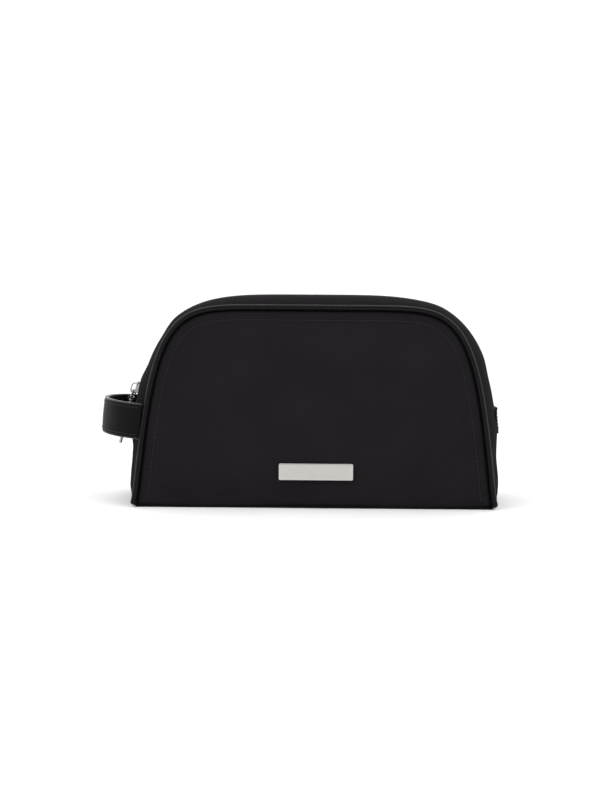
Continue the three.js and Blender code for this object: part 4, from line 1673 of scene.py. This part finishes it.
@dataclass
class SideStrap:
    """The carrying loop: two plies with painted edges and two rows of stitches, in millimetres."""

    rows: RowMaker
    height: float = 60.0
    stand_off: float = 0.5
    reach: float = 33.3
    half_span: float = 44.0
    half_width: float = 12.2
    lean: float = 5.0
    ply: float = 1.65
    edge_inset: float = 2.6

    def place(self, angle: Array, across: Array, depth: Array) -> Array:
        """Gives points of the strap in metres.

        Args:
            angle: Places round the half ellipse, from the front seam to the back one.
            across: Distances up the strap's width from its middle.
            depth: Distances in from the strap's outer face.

        Returns:
            The points.
        """
        rise = math.radians(self.lean)
        u = np.array([FORM.crown.share_at(self.height)])
        anchor = FORM.gusset(u, np.array([self.half_span]))[0, 0] - self.stand_off
        normal = np.stack([np.cos(angle) / self.reach, np.sin(angle) / self.half_span], axis=-1)
        normal /= np.linalg.norm(normal, axis=-1, keepdims=True)
        out = self.reach * np.cos(angle) - depth * normal[..., 0]
        x = anchor - out * math.cos(rise) + across * math.sin(rise)
        z = self.height + out * math.sin(rise) + across * math.cos(rise)
        y = self.half_span * np.sin(angle) - depth * normal[..., 1]
        return np.stack([x, y, z], axis=-1) * MM

    def ply_piece(self, name: str, section: Array, limit: float) -> Item:
        """Sweeps a section of the strap between two angles either side of its tip.

        Args:
            name: The piece's name.
            section: Pairs of place across the strap and depth in from its outer face.
            limit: The angle at which it ends, in degrees.

        Returns:
            The new object.
        """
        angle = np.radians(np.linspace(-limit, limit, 91))
        grid, across, depth = spread(angle, section)
        wave = 0.12 * np.sin(grid * 7) * np.cos(across / 6)
        return sweep(name, self.place(grid, across, depth + wave))

    def build(self) -> None:
        """Makes the plies, the painted edges and the stitches."""
        inner_reach = self.half_width - 0.35
        outer = rounded_section(-inner_reach, inner_reach, 0.0, self.ply, 0.5, 20)
        bow = 0.25 * (outer[:, 0] / inner_reach) ** 4
        outer[:, 1] += np.where(outer[:, 1] < self.ply / 2, bow, 0)
        pieces = [(self.ply_piece("strap_outer_ply", outer, 88), STRAP_SKIN, ("strap_outer",))]
        inner = rounded_section(-inner_reach, inner_reach, self.ply, 2 * self.ply, 0.5, 20)
        pieces.append((self.ply_piece("strap_inner_ply", inner, 84), STRAP_SKIN, ("strap_inner",)))
        for sign, label in ((1, "upper"), (-1, "lower")):
            bead = rounded_section(-0.75, 0.45, 0.3, 2 * self.ply - 0.25, 0.5, 3)
            bead[:, 0] = sign * (self.half_width + bead[:, 0])
            pieces.append((self.ply_piece(f"strap_{label}_edge_paint", bead, 88), EDGE, ()))
        for item, finish, nodes in pieces:
            dress(item, finish, "strap_leather", *nodes)
            Bend.GUSSET.join(item)
        self.build_stitches()

    def build_stitches(self) -> None:
        """Lays a row of stitches beside each edge, on the outer and the inner face."""
        angle = np.radians(np.linspace(-82, 82, 160))
        paths = []
        for depth, face in ((-0.02, 1), (2 * self.ply + 0.02, -1)):
            for sign in (1, -1):
                across = np.full_like(angle, sign * (self.half_width - self.edge_inset))
                line = self.place(angle, across, np.full_like(angle, depth))
                deeper = self.place(angle, across, np.full_like(angle, depth + 1.0))
                up = face * (line - deeper)
                paths.append((line, up / np.linalg.norm(up, axis=1, keepdims=True)))
        row = Row(pitch=2.9 * MM, length=2.2 * MM, width=0.52 * MM, height=0.42 * MM, seed=21)
        Bend.GUSSET.join(self.rows.sew("strap_stitching", row, "strap_leather", paths))


# ------------------------------------------------------------------ slider and pull


@dataclass
class Slider:
    """The zip's slider, its bridge, the link and the bar pull, in millimetres."""

    seat: float = 1.5
    stand: float = 4.3
    link_length: float = 6.5
    link_half_width: float = 2.5
    link_corner: float = 1.3
    link_wire: float = 0.68
    pull_lean: float = 13.5
    eye_outer: float = 2.3
    eye_inner: float = 1.3
    eye_half_width: float = 1.25

    def __post_init__(self) -> None:
        """Reads the slider's own axes from the frame's joints."""
        joints = {joint["name"]: joint for joint in frame["joints"]}
        self.up = np.array(joints["zip_slide"]["axis"], float)
        self.out = np.array([-self.up[2], 0, self.up[0]])
        self.hook = np.array(joints["link_swing"]["pos_m"], float) / MM
        self.eye = np.array(joints["pull_swing"]["pos_m"], float) / MM
        self.origin = self.hook + self.up * self.seat - self.out * self.stand

    def to_bag(self, local: Array) -> Array:
        """Turns places along the zip, across it and out of it into points in metres."""
        across = np.array([0.0, 1.0, 0.0])
        frame_axes = np.stack([self.up, across, self.out])
        return (self.origin + local @ frame_axes) * MM

    def outline(self, scale: float, steps: int = 10) -> Array:
        """Gives the plan of a slider plate: broad where the rows part, narrow where they join.

        Args:
            scale: Its size, against the full plate.
            steps: Points round each end.

        Returns:
            The closed outline, along the zip and across it.
        """
        points = []
        low, high, narrow, broad = -4.2, 5.6, 3.5, 4.5
        for angle in np.linspace(-math.pi / 2, math.pi / 2, steps):
            points.append((high - 1.6 + 1.6 * math.cos(angle), broad * math.sin(angle)))
        for angle in np.linspace(math.pi / 2, 3 * math.pi / 2, steps):
            points.append((low + 1.4 + 1.4 * math.cos(angle), narrow * math.sin(angle)))
        plan = np.array(points)
        centre = np.array([0.7, 0.0])
        return centre + (plan - centre) * scale

    def plate(self, part: Welded, levels: list[tuple[float, float]]) -> None:
        """Adds a plate to the slider from its plan, scaled level by level."""
        rings = []
        for height, scale in levels:
            plan = self.outline(scale)
            rings.append(np.column_stack([plan, np.full(len(plan), height)]))
        part.add_rings(np.array(rings))

    def finish_part(
        self, name: str, part: Welded, convert: Callable[[Array], Array], width: float, node: str
    ) -> Item:
        """Turns a welded part into a bevelled piece of polished metal.

        Args:
            name: The piece's name.
            part: Its shapes, in its own axes.
            convert: Turns its own axes into metres in the bag.
            width: The bevel's width, in millimetres.
            node: The CAD node that it replaces.

        Returns:
            The finished piece.
        """
        points = convert(np.concatenate(part.points))
        item = make_mesh(name, points, part.faces, np.zeros((len(points), 2)), 40)
        bevelled(item, width * MM)
        return dress(applied(item), CHROME, "chrome_metal", node)

    def build_body(self) -> None:
        """Makes the two plates, their side flanges and the post between them."""
        part = Welded()
        self.plate(part, [(1.75, 0.96), (2.0, 1.0), (2.7, 0.99), (3.0, 0.9)])
        self.plate(part, [(-3.9, 0.9), (-3.6, 0.98), (-3.0, 0.98), (-2.75, 0.94)])
        for sign in (-1, 1):
            low, high = sorted((sign * 3.35, sign * 4.3))
            part.add_box((-2.6, low, -0.7), (4.2, high, 2.4))
        part.add_box((3.4, -0.7, -3.2), (4.9, 0.7, 2.2))
        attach(self.finish_part("slider_shell", part, self.to_bag, 0.22, "slider_body"), "slider")

    def build_bridge(self) -> None:
        """Makes the bent bridge that holds the link."""
        centre = np.array([
            (-3.4, 2.9), (-3.4, 4.6), (-3.1, 5.5), (-2.3, 6.1), (-1.0, 6.3),
            (1.0, 6.3), (2.4, 6.05), (3.3, 5.3), (3.7, 4.2), (3.8, 2.9),
        ])
        along = np.gradient(centre, axis=0)
        along /= np.linalg.norm(along, axis=1, keepdims=True)
        side = np.stack([-along[:, 1], along[:, 0]], axis=1)
        section = rounded_section(-1.1, 1.1, -0.45, 0.45, 0.3, 2)
        rings = [
            np.column_stack([
                c[0] + s[0] * section[:, 1], section[:, 0], c[1] + s[1] * section[:, 1],
            ])
            for c, s in zip(centre, side)
        ]
        bridge = sweep("slider_bridge_arch", self.to_bag(np.array(rings)), 60)
        dress(bridge, CHROME, "chrome_metal", "slider_bridge")
        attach(bridge, "slider")

    def build_link(self) -> None:
        """Makes the link, a flattened ring of round wire."""
        corners, half, long_half = self.link_corner, self.link_half_width, self.link_length / 2
        loop = []
        for cx, cy, turn in ((1, 1, 0), (-1, 1, 1), (-1, -1, 2), (1, -1, 3)):
            for angle in np.linspace(0, math.pi / 2, 7) + turn * math.pi / 2:
                loop.append((
                    cx * (long_half - corners) - long_half + corners * math.cos(angle),
                    cy * (half - corners) + corners * math.sin(angle),
                ))
        centre = np.array(loop)
        along = np.roll(centre, -1, axis=0) - np.roll(centre, 1, axis=0)
        along /= np.linalg.norm(along, axis=1, keepdims=True)
        side = np.stack([along[:, 1], -along[:, 0]], axis=1)
        angle = np.linspace(0, 2 * math.pi, 12, endpoint=False)
        radius = self.link_wire
        reach, rise = radius * np.cos(angle), radius * np.sin(angle)
        rings = np.array([
            np.column_stack([c[0] + s[0] * reach, c[1] + s[1] * reach, rise]) for c, s in zip(centre, side)
        ])
        rings[..., 0] -= self.seat
        rings[..., 2] += self.stand
        faces = ring_faces(*rings.shape[:2], closed=True)
        points = self.to_bag(rings.reshape(-1, 3))
        link = make_mesh("link_ring", points, faces, np.zeros((len(points), 2)), 60)
        dress(link, CHROME, "chrome_metal", "pull_link")
        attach(link, "link")

    def build_pull(self) -> None:
        """Makes the bar pull: an eye, a neck and a softly edged bar with a rounded end."""
        lean = math.radians(self.pull_lean)
        down = np.array([-math.sin(lean), 0, -math.cos(lean)])
        out = np.array([-math.cos(lean), 0, math.sin(lean)])
        axes = np.stack([down, np.array([0.0, 1.0, 0.0]), out])

        def convert(local: Array) -> Array:
            """Turns places down the pull, across it and out of it into points in metres."""
            return (self.eye + local @ axes) * MM

        part = Welded()
        outer_r, inner_r, half = self.eye_outer, self.eye_inner, self.eye_half_width
        steps = 24
        angle = np.linspace(0, 2 * math.pi, steps, endpoint=False)
        rings = []
        for radius, y in ((outer_r, -half), (outer_r, half), (inner_r, half), (inner_r, -half)):
            rings.append(np.column_stack([radius * np.cos(angle), np.full(steps, y), radius * np.sin(angle)]))
        part.add_rings(np.array(rings), closed=True)
        profile = [(1.9, 1.15, 0.95), (3.4, 1.2, 0.95), (4.6, 2.0, 1.0), (5.6, 2.75, 1.08), (7.0, 3.0, 1.1),
                   (31.6, 3.0, 1.1), (33.0, 2.75, 1.05), (33.8, 2.0, 0.85), (34.0, 1.2, 0.6)]
        count = 20
        around = np.linspace(0, 2 * math.pi, count, endpoint=False)
        body = []
        for depth, wide, thick in profile:
            flat = np.sign(np.cos(around)) * np.abs(np.cos(around)) ** 0.45 * wide
            proud = np.sign(np.sin(around)) * np.abs(np.sin(around)) ** 0.6 * thick
            body.append(np.column_stack([np.full(count, depth), flat, proud]))
        part.add_rings(np.array(body))
        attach(self.finish_part("pull_handle", part, convert, 0.15, "pull_bar"), "pull")

    def build_stops(self) -> None:
        """Gives the end stops their crimped shape."""
        for name, mirrored in (("zip_stop_left", False), ("zip_stop_right", True)):
            start = FORM.zip_end + 0.0008
            u = np.linspace(start, start + 0.0056, 9)
            section = rounded_section(-3.3, 3.3, -1.4, 1.15, 0.7, 8)
            groove = 1 - 0.25 * np.cos(np.linspace(-math.pi, math.pi, 9)) ** 2
            place, across, height = spread(1 - u if mirrored else u, section)
            stop = sweep(f"{name}_crimp", FORM.off_gusset(place, across, height * groove[:, None]) * MM)
            dress(stop, CHROME, "chrome_metal", name)
            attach(stop, "shell")

    def build(self) -> None:
        """Makes every metal part of the zip."""
        self.build_body()
        self.build_bridge()
        self.build_link()
        self.build_pull()
        self.build_stops()


# ------------------------------------------------------------------ metal plate


@dataclass
class Badge:
    """The plain metal plate on the front panel, in millimetres."""

    chamfer: float = 0.55
    ply: float = 1.2
    prong_inset: float = 6.0
    prong_half: float = 0.7
    prong_reach: float = 3.6

    def build(self) -> None:
        """Makes the plate with bright chamfers round a brushed face, and its prongs behind."""
        low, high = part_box("badge_plate")
        width, height = (high.x - low.x) / MM, (high.z - low.z) / MM
        middle = np.array([(low.x + high.x) / 2, low.y, (low.z + high.z) / 2]) / MM
        levels = [(self.ply, 0.0), (self.chamfer * 0.6, 0.0), (0.18, 0.12), (0.0, self.chamfer), (0.0, 1.15),
                  (0.07, 1.25), (0.07, 1.45), (0.0, 1.55)]
        rings = []
        for depth, inset in levels:
            half_w, half_h = width / 2 - inset, height / 2 - inset
            loop = rounded_section(-half_w, half_w, -half_h, half_h, max(0.9 - inset * 0.5, 0.25), 12)
            rings.append(np.column_stack([
                middle[0] + loop[:, 0], np.full(len(loop), middle[1] + depth), middle[2] + loop[:, 1],
            ]))
        plate = sweep("badge_plate_face", np.array(rings) * MM, 25)
        dress(plate, SATIN, "badge_metal", "badge_plate")
        prongs = Welded()
        for sign in (-1, 1):
            x = middle[0] + sign * (width / 2 - self.prong_inset)
            start = (x - self.prong_half, middle[1] + 0.9, middle[2] - self.prong_half)
            end = (x + self.prong_half, middle[1] + self.prong_reach, middle[2] + self.prong_half)
            prongs.add_box(start, end)
        points = np.concatenate(prongs.points) * MM
        legs = make_mesh("badge_prongs", points, prongs.faces, np.zeros((len(points), 2)))
        dress(applied(bevelled(legs, 0.15 * MM, 2)), SATIN, "badge_metal")
        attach(plate, "front")
        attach(legs, "front")
        backing = bpy.data.objects["badge_backing"]
        backing.data.materials.clear()
        backing.data.materials.append(SATIN.material())


# ------------------------------------------------------------------ stage


@dataclass
class Stage:
    """Pale floor, soft light and the camera."""

    distance: float = 0.98
    eye: tuple[float, float] = (-0.0003, 0.1486)
    aim: tuple[float, float] = (-0.0103, 0.0766)
    roll: float = 0.4
    lens: float = 63.2
    bright_side: float = 1.15
    dim_side: float = 0.2

    def build_camera(self) -> None:
        """Sets the camera in front of the bag, a little above it."""
        data = bpy.data.cameras.new("camera")
        data.lens = self.lens
        data.sensor_width = 36
        data.clip_start = 0.01
        camera = bpy.data.objects.new("camera", data)
        bpy.context.scene.collection.objects.link(camera)
        front = -FORM.base_half_depth * MM
        eye = Vector((self.eye[0], front - self.distance, self.eye[1]))
        aim = Vector((self.aim[0], front, self.aim[1]))
        camera.location = eye
        camera.rotation_mode = "QUATERNION"
        turn = Quaternion((0, 0, 1), math.radians(self.roll))
        camera.rotation_quaternion = (aim - eye).to_track_quat("-Z", "Y") @ turn
        bpy.context.scene.camera = camera

    def build_floor(self) -> None:
        """Lays the floor."""
        half = 6.0
        mesh = bpy.data.meshes.new("floor")
        corners = [(-half, -half, 0), (half, -half, 0), (half, half, 0), (-half, half, 0)]
        mesh.from_pydata(corners, [], [(0, 1, 2, 3)])
        floor = new_object("floor", mesh)
        mesh.materials.append(FLOOR.material())

    def lamp(self, name: str, place: Vector, aim: Vector, size: float, power: float) -> None:
        """Hangs one soft lamp.

        Args:
            name: The lamp's name.
            place: Where it hangs.
            aim: The point it faces.
            size: The side of its square face, in metres.
            power: Its power in watts.
        """
        data = bpy.data.lights.new(name, "AREA")
        data.shape = "SQUARE"
        data.size = size
        data.energy = power
        lamp = bpy.data.objects.new(name, data)
        bpy.context.scene.collection.objects.link(lamp)
        lamp.location = place
        lamp.rotation_mode = "QUATERNION"
        lamp.rotation_quaternion = (aim - place).to_track_quat("-Z", "Y")

    def build_light(self) -> None:
        """Lights the bag from a white surround, a broad lamp overhead and one at each side."""
        scene = bpy.context.scene
        scene.view_settings.view_transform = "Standard"
        scene.world = self.surround()
        middle = Vector((0, 0, 0.07))
        self.lamp("overhead", Vector((0, -0.15, 1.5)), middle, 1.6, 5)
        self.lamp("left_bank", Vector((-1.3, -1.1, 0.9)), middle, 1.0, 6)
        self.lamp("right_bank", Vector((1.3, -1.1, 0.9)), middle, 1.0, 6)

    def surround(self) -> bpy.types.World:
        """Makes the room: white behind and above the bag, dimmer on the camera's side.

        Returns:
            The world.
        """
        world = bpy.data.worlds.new("white_surround")
        world.use_nodes = True
        tree = world.node_tree
        background = tree.nodes["Background"]
        background.inputs["Color"].default_value = (1, 1, 1, 1)
        direction = tree.nodes.new("ShaderNodeTexCoord")
        parts = tree.nodes.new("ShaderNodeSeparateXYZ")
        tree.links.new(direction.outputs["Generated"], parts.inputs[0])
        shares = []
        for output, low, high in (("Y", -1.0, -0.6), ("Z", 0.3, 0.7)):
            share = tree.nodes.new("ShaderNodeMapRange")
            share.interpolation_type = "SMOOTHSTEP"
            share.inputs["From Min"].default_value = low
            share.inputs["From Max"].default_value = high
            tree.links.new(parts.outputs[output], share.inputs["Value"])
            shares.append(share.outputs[0])
        bright = tree.nodes.new("ShaderNodeMath")
        bright.operation = "MAXIMUM"
        for socket, share in zip(bright.inputs, shares):
            tree.links.new(share, socket)
        strength = tree.nodes.new("ShaderNodeMapRange")
        strength.inputs["To Min"].default_value = self.dim_side
        strength.inputs["To Max"].default_value = self.bright_side
        tree.links.new(bright.outputs[0], strength.inputs["Value"])
        tree.links.new(strength.outputs[0], background.inputs["Strength"])
        return world

    def build(self) -> None:
        """Sets the whole stage."""
        self.build_camera()
        self.build_floor()
        self.build_light()


def main() -> None:
    """Builds the stage and every piece of the bag."""
    logging.basicConfig(level=logging.INFO, format="%(name)s %(message)s")
    Stage().build()
    rows = RowMaker()
    PaddedPanel(-1, Body.FRONT, rows).build()
    PaddedPanel(1, Body.SHELL, rows).build()
    SideGusset(True).build(rows)
    SideGusset(False).build(rows)
    Base().build()
    ZipSide(-1, rows).build()
    ZipSide(1, rows).build()
    SideStrap(rows).build()
    Slider().build()
    Badge().build()
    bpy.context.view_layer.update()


if __name__ == "__main__":
    main()
